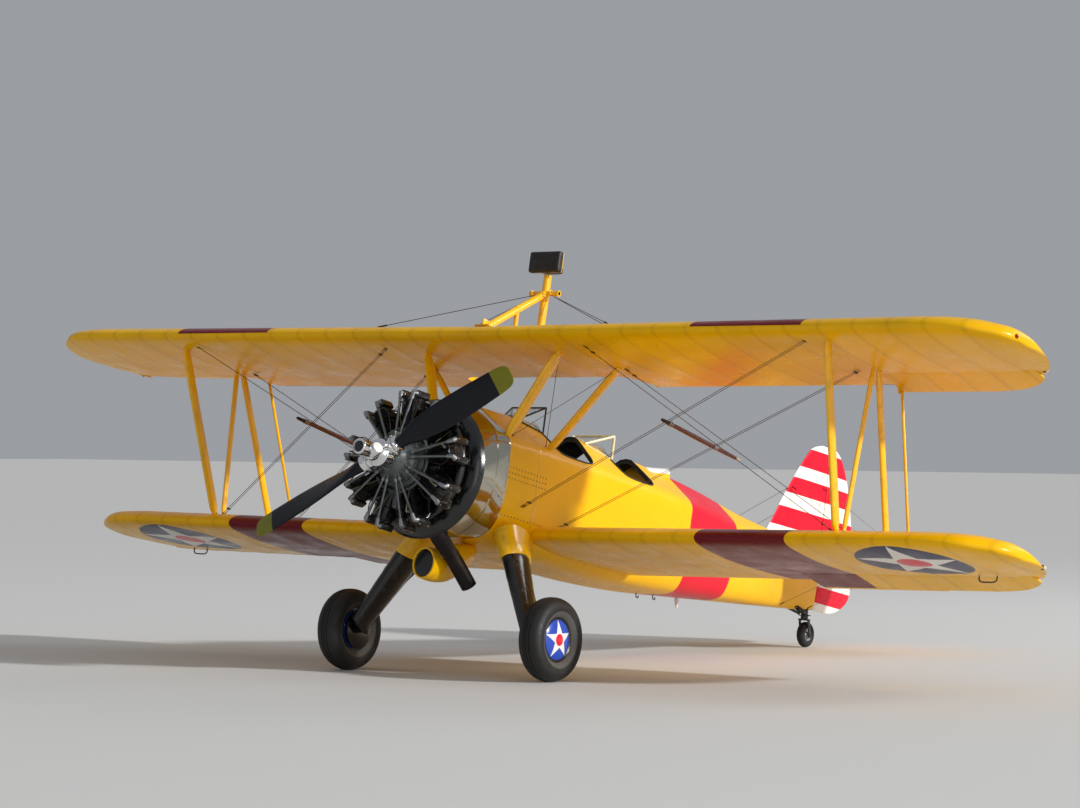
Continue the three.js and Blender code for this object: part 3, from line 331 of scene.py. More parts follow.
def skin(name, rings, caps=True):
    """A surface through rings of equally many points: a circle primitive, extruded ring by ring."""
    deselect()
    count = len(rings[0])
    bpy.ops.mesh.primitive_circle_add(vertices=count)
    piece = bpy.context.object
    piece.name = piece.data.name = name
    for vertex, point in zip(piece.data.vertices, rings[0]):
        vertex.co = point
    edit_all(piece)
    last = list(range(count))
    for ring in rings[1:]:
        bpy.ops.mesh.extrude_edges_move()
        mesh = bmesh.from_edit_mesh(piece.data)
        mesh.verts.index_update()
        place_of = {index: i for i, index in enumerate(last)}
        fresh = [v for v in mesh.verts if v.select]
        sources = [next(e.other_vert(v) for e in v.link_edges if not e.other_vert(v).select) for v in fresh]
        for vertex, source in zip(fresh, sources):
            i = place_of[source.index]
            vertex.co = ring[i]
            last[i] = vertex.index
        bmesh.update_edit_mesh(piece.data)
    bpy.ops.mesh.select_all(action="SELECT")
    bpy.ops.mesh.remove_doubles(threshold=1e-6)
    if caps:
        bpy.ops.mesh.fill_holes(sides=0)
    bpy.ops.mesh.normals_make_consistent(inside=False)
    to_mode("OBJECT")
    return piece


def level(x, y, z):
    """A point of the level airframe, given in millimetres."""
    return Vector((x, y, z)) * MM


def turns(count):
    """Angles of evenly spaced points on a circle."""
    return [2 * math.pi * i / count for i in range(count)]


def across(axis):
    """Two directions square to an axis."""
    axis = axis.normalized()
    side = axis.cross(Vector((0, 0, 1)))
    if side.length < 0.1:
        side = axis.cross(Vector((0, 1, 0)))
    side.normalize()
    return side, axis.cross(side)


def hoop(centre, side, rise, radius, segments):
    """Points of a circle between two directions, its radius in millimetres."""
    return [centre + (side * math.cos(t) + rise * math.sin(t)) * (radius * MM) for t in turns(segments)]


def turned(name, profile, axis, at, segments=32, caps=True):
    """A lathe-turned piece; the profile's columns are radius and distance along the axis, in millimetres."""
    axis = Vector(axis).normalized()
    return skin(name, [hoop(at + axis * (h * MM), *across(axis), r, segments) for r, h in profile], caps)


def pipe(name, path, radius, segments=10, caps=True):
    """A tube or wire along points in metres, radius in millimetres or one for each point."""
    radii = radius if isinstance(radius, (list, tuple)) else [radius] * len(path)
    rings = []
    side = None
    for i, point in enumerate(path):
        ahead = (path[min(i + 1, len(path) - 1)] - path[max(i - 1, 0)]).normalized()
        side = across(ahead)[0] if side is None else (side - ahead * side.dot(ahead)).normalized()
        rings.append(hoop(point, side, ahead.cross(side), radii[i], segments))
    return skin(name, rings, caps)


def rod(name, start, end, radius, segments=10):
    """A straight pipe between two points (x, y, z) of the level airframe."""
    return pipe(name, [level(*start), level(*end)], radius, segments)


def rounded_path(corners, radius, steps=5):
    """Straight runs between corners, with each inner corner rounded."""
    path = [corners[0]]
    for before, corner, after in zip(corners, corners[1:], corners[2:]):
        enter = corner + (before - corner).normalized() * min(radius, (before - corner).length * 0.45)
        leave = corner + (after - corner).normalized() * min(radius, (after - corner).length * 0.45)
        for k in range(steps + 1):
            t = k / steps
            path.append(enter * (1 - t) ** 2 + corner * 2 * t * (1 - t) + leave * t * t)
    return path + [corners[-1]]


def bent(name, points, bend_mm, radius, segments=10, steps=5):
    """A pipe through points (x, y, z) of the level airframe, with rounded corners."""
    return pipe(name, rounded_path([level(*p) for p in points], bend_mm * MM, steps), radius, segments)


def block(name, centre, size, bevel=2.0, turn=None, segments=2):
    """A cube primitive at its size in millimetres with bevelled edges; turn is a rotation matrix."""
    deselect()
    bpy.ops.mesh.primitive_cube_add(size=1)
    piece = bpy.context.object
    piece.name = piece.data.name = name
    piece.data.transform(Matrix.Diagonal((*[s * MM for s in size], 1)))
    edit_all(piece)
    bpy.ops.mesh.bevel(offset=bevel * MM, segments=segments)
    to_mode("OBJECT")
    if turn is not None:
        piece.data.transform(turn.to_4x4())
    piece.data.transform(Matrix.Translation(centre))
    return piece


def carve(piece, cutter, operation="DIFFERENCE"):
    """Cuts a piece with another one, which is used up."""
    modifier = piece.modifiers.new("carve", "BOOLEAN")
    modifier.operation = operation
    modifier.object = cutter
    modifier.solver = "EXACT"
    active(piece)
    bpy.ops.object.modifier_apply(modifier=modifier.name)
    bpy.data.objects.remove(cutter)
    return piece


def joined(name, pieces):
    """Several pieces of one part become one mesh."""
    active(pieces[0])
    for piece in pieces[1:]:
        piece.select_set(True)
    if len(pieces) > 1:
        bpy.ops.object.join()
    pieces[0].name = pieces[0].data.name = name
    return pieces[0]


def copy_of(piece, name, matrix):
    """A copy with its own mesh, moved by a matrix; a mirrored one has its faces turned back outwards."""
    twin = piece.copy()
    twin.data = piece.data.copy()
    twin.name = twin.data.name = name
    bpy.context.scene.collection.objects.link(twin)
    twin.data.transform(matrix)
    if matrix.determinant() < 0:
        twin.data.flip_normals()
    return twin


def painted(paint, piece):
    """A part of a piece that has a finish of its own."""
    piece.data.materials.append(paint.material)
    return piece

# %% [markdown]
# A finished piece is stood on the ground, gets its paint and rides on its body. Most pieces are drawn for
# the left side and mirrored. Some solids already have their true shape and only lack a smooth surface: a
# copy of each is merged, because the solids arrive as loose triangles, then shaded smooth up to an angle.

# %% Finishing a piece
MIRROR = Matrix.Diagonal((-1, 1, 1, 1))
SIDES = {"left": 1, "right": -1}
made = []


def finish(piece, paint, stands_for=None, smooth=35, body="airframe"):
    """Stands a level piece on the ground, shades and paints it, and lets it ride on its body."""
    piece.data.transform(STANCE)
    active(piece)
    bpy.ops.object.shade_smooth_by_angle(angle=math.radians(smooth))
    if paint is not None:
        piece.data.materials.clear()
        piece.data.materials.append(paint.material)
    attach(piece, body)
    if stands_for:
        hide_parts(stands_for)
    made.append(piece.name)
    return piece


def finish_pair(piece, name, paint, stands_for=None, smooth=35, body="airframe", turn=None):
    """Finishes the left piece and a mirrored one; {} is the side, and turn gives a matrix by its sign."""
    for side, sign in SIDES.items():
        place = Matrix.Identity(4) if sign > 0 else MIRROR
        half = copy_of(piece, name.format(side), turn(sign) @ place if turn else place)
        finish(half, paint, stands_for and stands_for.format(side), smooth, body.format(side))
    bpy.data.objects.remove(piece)


def carried_over(node, paint, body):
    """A merged and smoothed copy that stands for a solid."""
    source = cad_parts[node]
    twin = bpy.data.objects.new(node + "_dressed", source.data.copy())
    bpy.context.scene.collection.objects.link(twin)
    edit_all(twin)
    bpy.ops.mesh.remove_doubles(threshold=1e-5)
    bpy.ops.mesh.tris_convert_to_quads(face_threshold=0.02, shape_threshold=3.0)
    to_mode("OBJECT")
    twin.data.transform(STANCE.inverted())
    return finish(twin, paint, node, body=body)

# %% [markdown]
# The wings come first, because they are most of what is seen. A wing here is a row of aerofoil sections
# on a plane that is tipped up by its incidence and its dihedral. Fabric is tight over the ribs and sinks a
# few millimetres between them, so each bay between two ribs gets three sections of its own.

# %% Wing planes
CHORD = 1524
UPPER = {"le_y": -274, "le_z": 2463, "incidence": 4.75, "dihedral": 0.4, "root": 950, "tip": 4900}
LOWER = {"le_y": 370, "le_z": 903, "incidence": 2.6, "dihedral": 0.7, "root": 300, "tip": 4710}
WINGS = {"upper": UPPER, "lower": LOWER}
THICKNESS, CAMBER, CAMBER_AT = 0.13, 0.02, 0.2


def aerofoil_height(c, side):
    """Height over the chord line at a fraction of the chord; side is 1 for the top, -1 for the bottom."""
    half = 5 * THICKNESS * (0.2969 * math.sqrt(c) - 0.126 * c - 0.3516 * c**2 + 0.2843 * c**3 - 0.1036 * c**4)
    if c < CAMBER_AT:
        line = CAMBER / CAMBER_AT**2 * (2 * CAMBER_AT * c - c * c)
    else:
        line = CAMBER / (1 - CAMBER_AT) ** 2 * (1 - 2 * CAMBER_AT + 2 * CAMBER_AT * c - c * c)
    return line + side * half


def on_wing(wing, x, aft, up):
    """A point by span, distance behind the leading edge and height over the chord line, in millimetres."""
    tilt, rise = math.radians(wing["incidence"]), math.tan(math.radians(wing["dihedral"]))
    return level(
        x,
        wing["le_y"] + aft * math.cos(tilt) + up * math.sin(tilt),
        wing["le_z"] + abs(x) * rise - aft * math.sin(tilt) + up * math.cos(tilt),
    )


def on_skin(wing, x, aft, side, out=0):
    """A point on the wing's skin, or that far out of it."""
    return on_wing(wing, x, aft, aerofoil_height(aft / CHORD, side) * CHORD + side * out)


def smooth_rows(rows, steps):
    """Rows of numbers with smooth ones put in between."""
    result = []
    for i in range(len(rows) - 1):
        before, a, b, after = rows[max(i - 1, 0)], rows[i], rows[i + 1], rows[min(i + 2, len(rows) - 1)]
        for k in range(steps):
            t = k / steps
            result.append([
                0.5 * (2 * q + (r - p) * t + (2 * p - 5 * q + 4 * r - s) * t * t
                       + (3 * q - p - 3 * r + s) * t**3)
                for p, q, r, s in zip(before, a, b, after)
            ])
    return result + [list(rows[-1])]


# Tip outline: in from the tip, leading edge back, trailing edge forward, thickness
TIP = smooth_rows([
    [740, 0, 0, 1], [510, 22, 36, 0.98], [330, 74, 126, 0.93], [200, 172, 285, 0.84],
    [95, 272, 462, 0.7], [30, 400, 640, 0.48], [8, 540, 760, 0.3], [0, 640, 840, 0.2],
], 4)
RIB_PITCH = 305
SAG = 4.0
# Chord fractions of a section, closer together at the nose
CHORDWISE = [0.5 - 0.5 * math.cos(math.pi * i / 26) for i in range(27)]


def wing_section(wing, x, le=0, te=0, thick=1.0, sag=0.0):
    """One aerofoil ring; sag is how far the fabric sinks here."""
    ring = []
    for side, fractions in ((1, CHORDWISE[::-1]), (-1, CHORDWISE[1:-1])):
        for c in fractions:
            hollow = sag * max(0.0, min(1.0, (c - 0.1) / 0.15, (0.97 - c) / 0.1))
            up = aerofoil_height(c, side) * CHORD * thick - side * hollow
            ring.append(on_wing(wing, x, le + c * (CHORD - le - te), up))
    return ring


def fabric_stations(start, end):
    """Places along the span with the sag there: ribs at whole pitches, and three places between."""
    stations = [(start, 0.0)]
    x = (start // RIB_PITCH) * RIB_PITCH
    while x < end:
        for share, sag in ((0, 0.0), (0.22, 0.7), (0.5, 1.0), (0.78, 0.7)):
            here = x + share * RIB_PITCH
            if start + 10 < here < end - 10:
                stations.append((here, sag * SAG))
        x += RIB_PITCH
    return stations


def wing_panel(name, wing):
    """A whole left panel from its root to its rounded tip."""
    stations = fabric_stations(wing["root"] + 0.3, wing["tip"] - TIP[0][0])
    rings = [wing_section(wing, x, sag=sag) for x, sag in stations]
    rings += [wing_section(wing, wing["tip"] - inset, le, te, thick) for inset, le, te, thick in TIP]
    print(name, "sections:", len(rings))
    return skin(name, rings)

# %% [markdown]
# The paint follows the airframe's own lines. A red band runs over both wings, its red darkened as painted
# shade; on the upper one it stops just under the leading edge. The lower wings carry a blue roundel with a
# white star and a red centre underneath. The star needs no picture: with five mirrored sectors folded onto
# one, its edge is a single straight line. Over each rib a slightly darker line is a painted shadow of the
# rib.

# %% Wing paint
def star_roundel(paint, ground, u, v, radius, tip_turn=0.0, field=NAVY):
    """Paints a blue disc, a white five-pointed star and a red centre over the ground colour."""
    out = (u * u + v * v).doing("SQRT")
    fold = (v.doing("ARCTAN2", u) + tip_turn).doing("PINGPONG", math.pi / 5)
    edge = out * (fold - math.radians(72)).doing("COSINE")
    disc = out < radius
    colour = paint.blend(disc, ground, field)
    colour = paint.blend((edge < 0.309 * radius) * disc, colour, WHITE)
    return paint.blend(out < 0.3 * radius, colour, RED)


def taped(paint, span, weave, width=26):
    """Raised tapes over the ribs, feathered at their edges, on top of the weave."""
    tape = span.doing("PINGPONG", RIB_PITCH / 2).spread(width * 0.35, width * 0.5, 1, 0)
    paint.feed(Normal=paint.bump(tape, 0.35, 0.0012, weave))


def wing_dope(name, band, under_line, roundel):
    """Wing paint; under_line is height at the origin and slope of the line below which the band ends."""
    paint = Paint(name, **DOPE_GLOSS)
    x, y, z = paint.xyz
    span = x.doing("ABSOLUTE")
    # Painted shadow: a slightly darker line over each rib
    shade = span.doing("PINGPONG", RIB_PITCH / 2).spread(8, 30, 0.16, 0)
    in_band = (span > band[0]) * (span < band[1])
    if under_line:
        in_band = in_band * (z > y * under_line[1] + under_line[0])
    colour = paint.blend(in_band, paint.blend(shade, YELLOW, chip("8a5a00")), BAND_RED_IN_PAINTED_SHADE)
    if roundel:
        star_x, star_y, radius = roundel
        under = z < y * -0.0454 + 987
        colour = paint.blend(under, colour, star_roundel(
            paint, colour, y * -1 + star_y, span - star_x, radius))
    taped(paint, span, doped(paint, colour))
    return paint


WING_DOPES = {
    "upper": wing_dope("upper_wing_doped_fabric", (2177, 3203), (2464, -0.0864), None),
    "lower": wing_dope("lower_wing_doped_fabric", (2030, 2870), None, (3757, 890, 470)),
}

# %% [markdown]
# An aileron and its bay are cut from the whole panel with the same rounded prism, once with running
# room and once without. The ailerons then turn about their hinges to where they rest, ten degrees off
# neutral, left side down and right side up.

# %% Panels, bays and ailerons
HINGE_AFT = 1140
HINGE_UP = 16.175
AILERON_NOSE, RUNNING = 51, 6
AILERON_SPAN = {"upper": (3275, 4650), "lower": (2350, 4460)}
AILERON_REST = math.radians(10)


def bay_cutter(wing, span, nose, inset):
    arc = [math.radians(-90 + 12 * i) for i in range(16)]
    outline = [(700, -300), (0, -300),
               *[(-nose * math.cos(a), nose * math.sin(a)) for a in arc], (0, 300), (700, 300)]
    return skin("bay_cutter", [[on_wing(wing, x, HINGE_AFT + a, HINGE_UP + u) for a, u in outline]
                               for x in (span[0] + inset, span[1] - inset)])


def hinge_turn(level_name, sign):
    """Turns an aileron from neutral to rest about its own hinge line."""
    wing = WINGS[level_name]
    at = on_wing(wing, sum(AILERON_SPAN[level_name]) / 2, HINGE_AFT, HINGE_UP)
    rise = math.radians(wing["dihedral"]) * sign
    at.x *= sign
    turn = Matrix.Rotation(-sign * AILERON_REST, 4, Vector((math.cos(rise), 0, math.sin(rise))))
    return Matrix.Translation(at) @ turn @ Matrix.Translation(-at)


HINGE_TURNS = {name: functools.partial(hinge_turn, name) for name in WINGS}
for name, wing in WINGS.items():
    span = AILERON_SPAN[name]
    panel = wing_panel(name + "_panel", wing)
    aileron = copy_of(panel, name + "_aileron_cut", Matrix.Identity(4))
    carve(aileron, bay_cutter(wing, span, AILERON_NOSE, RUNNING), "INTERSECT")
    carve(panel, bay_cutter(wing, span, AILERON_NOSE + RUNNING, 0))
    finish_pair(panel, name + "_wing_skin_{}", WING_DOPES[name], name + "_wing_{}", 40)
    ridden = name + "_aileron_{}"
    finish_pair(aileron, name + "_aileron_skin_{}", WING_DOPES[name], ridden, 40, ridden,
                HINGE_TURNS[name])

# %% [markdown]
# The centre section is skinned the same way. Its trailing edge is cut out over the front cockpit, with
# rounded corners, and the cut edge gets a folded metal lip.

# %% Centre section
half_span = fabric_stations(0, 950)
stations = [(-950, 0.0)] + [(-x, sag) for x, sag in reversed(half_span[1:])] + half_span + [(950, 0.0)]
center = skin("center_skin", [wing_section(UPPER, x, sag=sag) for x, sag in stations])
CUT_FRONT, CUT_HALF = CHORD - 400, 800
before, after = (CUT_HALF + 70, CUT_FRONT + 110), (CUT_HALF - 70, CUT_FRONT)
corner = (CUT_HALF + 50, CUT_FRONT)
cut_half = [(CUT_HALF + 120, CHORD + 60), (CUT_HALF + 110, CHORD - 10)]
for t in (k / 6 for k in range(7)):
    cut_half.append(tuple(b * (1 - t) ** 2 + c * 2 * t * (1 - t) + a * t * t
                          for b, c, a in zip(before, corner, after)))
cut_outline = cut_half + [(-x, a) for x, a in reversed(cut_half)]
carve(center, skin("cutout_cutter", [
    [on_wing(UPPER, x, a, up) for x, a in cut_outline] for up in (-200, 220)
]))
lip = pipe("cutout_lip", [on_wing(UPPER, x, a - 6, aerofoil_height(min(a, CHORD - 12) / CHORD, 1) * CHORD - 6)
                          for x, a in cut_outline[1:-1]], 7, 8)
finish(joined("center_section_skin", [center, lip]), WING_DOPES["upper"],
       "upper_wing_center", 40)
print("wing pieces:", len(made))

# %% [markdown]
# The fuselage is welded tube with fabric stretched over formers and long stringers, and metal panels round
# the front. Its section is a peaked roof over flat sides. The table below has one row for each former; the
# rows are smoothed along the length, so that the skin runs in long curves.

# %% Fuselage sections
# Station, half width, height of the widest line, crown, crown power, keel, keel power, share of the peak
FORMER_ROWS = smooth_rows([
    [-60, 428, 1400, 1890, 2.3, 785, 3.4, 1], [400, 430, 1400, 1906, 2.5, 745, 4.5, 1],
    [1350, 430, 1400, 1920, 2.6, 725, 5, 1], [2380, 425, 1400, 1896, 2.6, 775, 5, 1],
    [3220, 345, 1410, 1853, 2.5, 865, 4.5, 1], [3970, 255, 1420, 1776, 2.4, 950, 4, 0.9],
    [4560, 175, 1430, 1742, 2.3, 1018, 3.6, 0.7], [5180, 90, 1440, 1690, 2.2, 1092, 3, 0.4],
    [5490, 38, 1440, 1655, 2, 1135, 2.5, 0],
], 5)
# Peaked deck from the widest line to the crown: angle, share of the half width, share of the height
DECK = smooth_rows([
    [0, 1, 0], [6.4, 1, 0.1], [19.3, 0.99, 0.28], [32.1, 0.955, 0.42], [45, 0.84, 0.545],
    [57.9, 0.62, 0.685], [70.7, 0.36, 0.845], [83.6, 0.12, 0.985], [90, 0, 1],
], 3)


def former_at(y):
    """The row of numbers at a station."""
    i = min(sum(row[0] <= y for row in FORMER_ROWS), len(FORMER_ROWS) - 1)
    before, after = FORMER_ROWS[i - 1], FORMER_ROWS[i]
    share = (y - before[0]) / (after[0] - before[0])
    return [a + (b - a) * share for a, b in zip(before, after)]


def upper_quarter(row):
    """Points (across, height) from the widest line to the crown."""
    _, half, wide, crown, power, _, _, peak = row
    points = []
    for angle, across_share, up_share in DECK:
        c, s = max(math.cos(math.radians(angle)), 0), max(math.sin(math.radians(angle)), 0)
        soft_across, soft_up = c ** (2 / power), s ** (2 / power)
        across_here = soft_across + peak * (across_share - soft_across)
        up_here = soft_up + peak * (up_share - soft_up)
        points.append((across_here * half, wide + up_here * (crown - wide)))
    return points


def lower_quarter(row):
    """Points (across, height) from the keel to the widest line."""
    _, half, wide, _, _, keel, power, _ = row
    count = len(DECK) - 1
    angles = [math.pi / 2 * (1 - i / count) for i in range(count)]
    return [(half * math.cos(t) ** (2 / power),
             wide - (wide - keel) * math.sin(t) ** (2 / power)) for t in angles]


def former_ring(row):
    half_ring = lower_quarter(row) + upper_quarter(row)
    right_side = [level(x, row[0], z) for x, z in half_ring]
    return right_side + [level(-x, row[0], z) for x, z in reversed(half_ring[1:-1])]


def deck_height(x, y):
    """Height of the deck at a place seen from above."""
    points = upper_quarter(former_at(y))
    for (a, low), (b, high) in zip(points, points[1:]):
        if b <= abs(x) <= a:
            return low + (high - low) * (a - abs(x)) / max(a - b, 1e-6)
    return points[-1][1]


def side_width(y, z):
    """Half width of the fuselage at a station and a height."""
    row = former_at(y)
    points = sorted(lower_quarter(row) + upper_quarter(row), key=lambda p: p[1])
    for (a, low), (b, high) in zip(points, points[1:]):
        if low <= z <= high:
            return a + (b - a) * (z - low) / max(high - low, 1e-6)
    return 0.0


print("half width by the rear cockpit:", round(side_width(1900, 1400)), "mm")

# %% [markdown]
# The cockpits are one long room under the deck, opened by two cutters with the plan of the rims. What
# faces the inside is painted grey-green, as tubes and floorboards are, darkened almost to black as painted
# shade of the deep room. Then come the headrest fairing and the leather roll that covers each rim.

# %% Fuselage skin with its cockpits
fuselage_dope = Paint("fuselage_doped_fabric", **DOPE_GLOSS)
x, y, z = fuselage_dope.xyz
# Red band round the body: its front edge bends at the widest line, its rear edge leans a little
front_edge = ((z - 1481) * 0.18).doing("MAXIMUM", 0) + 2712
rear_edge = z * 0.065 + 3522
weave = doped(fuselage_dope, fuselage_dope.blend((y > front_edge) * (y < rear_edge), YELLOW, RED))
# Stringers under the fabric behind the cockpits
ridge = z.doing("PINGPONG", 60).spread(0, 14, 1, 0) * (y > 2400)
fuselage_dope.feed(Normal=fuselage_dope.bump(ridge, 0.3, 0.0015, weave))

RIMS = {
    "front": [(0, 692), (300, 674), (372, 690), (392, 760), (396, 960), (388, 1140), (340, 1205), (215, 1268),
              (95, 1322), (0, 1334)],
    "rear": [(0, 1672), (290, 1652), (360, 1664), (384, 1730), (388, 1900), (378, 2080), (330, 2138),
             (200, 2168), (0, 2185)],
}
WALL, FLOOR, ROOM = 34, 880, (560, 2320)


def rim_outline(name):
    half = [tuple(p) for p in smooth_rows(RIMS[name], 3)]
    return half + [(-x, y) for x, y in reversed(half[1:-1])]


hull = skin("fuselage_skin", [former_ring(row) for row in FORMER_ROWS])
inner_rows = [row for row in FORMER_ROWS if ROOM[0] < row[0] < ROOM[1]]
carve(hull, skin("room", [
    former_ring([y, half - WALL, wide, crown - WALL, power, FLOOR, keel_power, peak])
    for y, half, wide, crown, power, _, keel_power, peak in [
        former_at(ROOM[0]), *inner_rows, former_at(ROOM[1])]
]))
for name in RIMS:
    carve(hull, skin("rim_cutter", [[level(x, y, z) for x, y in rim_outline(name)] for z in (1540, 2200)]))
painted(fuselage_dope, hull)
# The inside faces get the dark grey-green, painted shade of the cockpits
painted(interior_paint_with_painted_shade, hull)
for face in hull.data.polygons:
    x, y, z = face.center / MM
    inwards = face.normal.x * x + face.normal.z * (z - 1400) < 0
    if inwards and ROOM[0] - 5 < y < ROOM[1] + 5 and FLOOR - 5 < z and abs(x) < side_width(y, z) - 15:
        face.material_index = 1
finish(hull, None, "fuselage", 40)
print("fuselage faces:", len(hull.data.polygons))

# Station, half width and height of the headrest; it is white above a line just under its top
headrest_rows = smooth_rows([
    [2380, 90, 1800], [2396, 98, 1882], [2560, 96, 1912], [2720, 82, 1938], [2770, 78, 1941],
    [2786, 68, 1870],
], 3)
half_section = [(-1, None), (-1, 34), (-0.86, 14), (-0.5, 3)]
section = half_section + [(0, 0)] + [(-share, drop) for share, drop in reversed(half_section)]
headrest = skin("headrest_fairing", [
    [level(half * share, y, 1740 if drop is None else high - drop) for share, drop in section]
    for y, half, high in headrest_rows
])
headrest_paint = Paint("headrest_enamel_with_white_top", Roughness=0.3)
_, y, z = headrest_paint.xyz
headrest_paint.feed(Base_Color=headrest_paint.blend(z > y * 0.151 + 1478, YELLOW, WHITE))
finish(headrest, headrest_paint, None, 40)

for name in RIMS:
    path = [level(x, y, deck_height(x, y) + 3) for x, y in rim_outline(name)]
    roll = pipe(f"coaming_roll_{name}", path + [path[0]], 7, 10, False)
    finish(roll, black_leather, None, 60)

# %% [markdown]
# Three-pane windscreens stand on the deck: a raked front pane, and a triangle on each side. The front one
# has a black frame and the rear one a cream frame.

# %% Windscreens
STRIP_R = 7


def pane(*corners, thick=4):
    """A flat sheet with its corners given, thickened both ways."""
    normal = (corners[1] - corners[0]).cross(corners[2] - corners[0]).normalized() * (thick * MM / 2)
    return skin("pane", [[p + normal for p in corners], [p - normal for p in corners]])


for name, foot_y, hoop_y, top_z, half, foot_half, frame_paint, tube in (
    ("front", 430, 690, 2040, 178, 89, black_enamel, 8),
    ("rear", 1400, 1668, 2004, 213, 106, cream_enamel, 12),
):
    panes, lines, feet, tops = [], [], [], []
    for sign in (-1, 1):
        foot = level(sign * foot_half, foot_y, deck_height(foot_half, foot_y) + 8)
        top = level(sign * half, hoop_y, top_z)
        corner = level(sign * half, hoop_y, deck_height(half, hoop_y) + 6)
        panes.append(pane(foot, corner, top))
        deck_line = [foot.lerp(corner, k / 4) for k in range(5)]
        for point in deck_line:
            point.z = deck_height(point.x / MM, point.y / MM) * MM + 0.007
        lines += [(deck_line, STRIP_R, 8), ([foot, top], tube, 10), ([corner, top], tube, 10)]
        feet.append(foot)
        tops.append(top)
    panes.append(pane(*feet, *reversed(tops)))
    front_line = [level(foot_half * share, foot_y, deck_height(foot_half * share, foot_y) + 7)
                  for share in (-1, -0.5, 0, 0.5, 1)]
    lines += [(tops, tube, 10), (front_line, STRIP_R, 8)]
    tubes = [pipe("frame_tube", *line) for line in lines]
    finish(joined(f"windscreen_{name}_panes", panes), clear_acrylic,
           f"windscreen_{name}_glass", 20)
    finish(joined(f"windscreen_{name}_tubes", tubes), frame_paint,
           f"windscreen_{name}_frame", 50)

# %% [markdown]
# Inside each cockpit are the things that the openings show: a crackle-black instrument panel with its
# dials, a stick with a rubber grip, a throttle quadrant, and a bucket seat with a seat pad, a back pad and
# webbing straps. The pads are stuffed, so they bulge between their seams.

# %% Cockpit fittings
COCKPITS = {"front": (700, 1240), "rear": (1680, 2110)}
BOARD = [(300, 1330), (300, 1560), (230, 1690), (90, 1770)]
DIALS = [(-190, 1520, 42), (-65, 1520, 48), (65, 1520, 48), (190, 1520, 42), (-130, 1635, 40), (0, 1650, 48),
         (130, 1635, 40), (-190, 1400, 30), (190, 1400, 30)]


def dial(x, y, z, radius):
    """A bezel that faces aft, and a white needle."""
    at = level(x, y, z)
    bezel = turned("dial_bezel", [(0, 3), (radius - 5, 3), (radius - 4, 8), (radius, 8),
                                  (radius, -6), (0, -6)],
                   (0, 1, 0), at, 20)
    needle = block("dial_needle", at + level(radius * 0.2, 5, radius * 0.2), (radius * 0.9, 2, 4), 0.5,
                   Matrix.Rotation(math.radians(-40), 3, "Y"))
    return [painted(dial_black, bezel), painted(white_enamel, needle)]


def pad(name, centre, size, puff):
    """A stuffed pad: a bevelled block whose wide faces are raised towards their middle."""
    piece = block(name, Vector((0, 0, 0)), size, min(size) * 0.3, None, 4)
    edit_all(piece)
    bpy.ops.mesh.subdivide(number_cuts=5)
    to_mode("OBJECT")
    flat = size.index(min(size))
    others = [i for i in range(3) if i != flat]
    for vertex in piece.data.vertices:
        shares = [vertex.co[i] / (size[i] * MM / 2) for i in others]
        swell = max(0, 1 - shares[0] ** 4) * max(0, 1 - shares[1] ** 4)
        vertex.co[flat] += math.copysign(puff * MM * swell, vertex.co[flat])
    piece.data.transform(Matrix.Translation(centre))
    return piece


for name, (panel_y, back_y) in COCKPITS.items():
    outline = [(-x, z) for x, z in BOARD] + BOARD[::-1]
    board = skin("instrument_board", [[level(x, panel_y + d, z) for x, z in outline] for d in (-4, 4)])
    parts = [painted(dial_black, board)]
    for x, z, radius in DIALS:
        parts += dial(x, panel_y + 6, z, radius)
    stick = bent("stick", [(0, panel_y + 190, 900), (0, panel_y + 200, 1180),
                           (0, panel_y + 240, 1330)], 80, 12)
    grip = rod("stick_grip", (0, panel_y + 240, 1325), (0, panel_y + 262, 1440), 20, 12)
    quadrant = block("throttle_quadrant", level(350, panel_y + 180, 1420), (22, 150, 110), 4)
    lever = rod("throttle_lever", (335, panel_y + 180, 1430), (330, panel_y + 150, 1530), 6, 8)
    parts += [painted(black_enamel, stick), painted(tyre_rubber, grip), painted(dial_black, quadrant),
              painted(bright_steel, lever)]
    finish(joined(f"cockpit_fittings_{name}", parts), None, None, 40)
    pan = block("seat_pan", level(0, back_y - 180, FLOOR + 105), (400, 360, 205), 24)
    back = block("seat_back", level(0, back_y - 20, FLOOR + 320), (400, 34, 636), 16)
    finish(joined(f"seat_{name}_shell", [pan, back]), cast_aluminium,
           f"seat_{name}", 40)
    cushion = pad(f"seat_{name}_cushion", level(0, back_y - 195, FLOOR + 238), (360, 300, 60), 14)
    rest = pad(f"seat_{name}_back_pad", level(0, back_y - 58, FLOOR + 440), (350, 46, 340), 12)
    for soft in (cushion, rest):
        finish(soft, brown_leather, None, 60)
    straps = []
    for sign in (-1, 1):
        line = smooth_rows([[sign * x, back_y + y, z] for x, y, z in (
            (90, 6, 1500), (90, -20, 1532), (92, -75, 1500), (96, -92, 1400),
            (60, -110, 1240), (22, -190, 1172),
        )], 4)
        straps.append(skin("shoulder_strap", [[level(x + w, y, z + h) for w, h in (
            (-22, 2), (22, 2), (22, -2), (-22, -2))] for x, y, z in line]))
    finish(joined(f"harness_{name}", straps), webbing, None, 50)
print("pieces so far:", len(made))

# %% [markdown]
# The tail's surfaces are flat fabric frames with rounded edges. The fin and the rudder carry level red and
# white stripes that run over both of them, so a colour ramp over the airframe's own height paints them.
# White is about 130 mm and red about 180 mm tall; the heights were read off one by one.

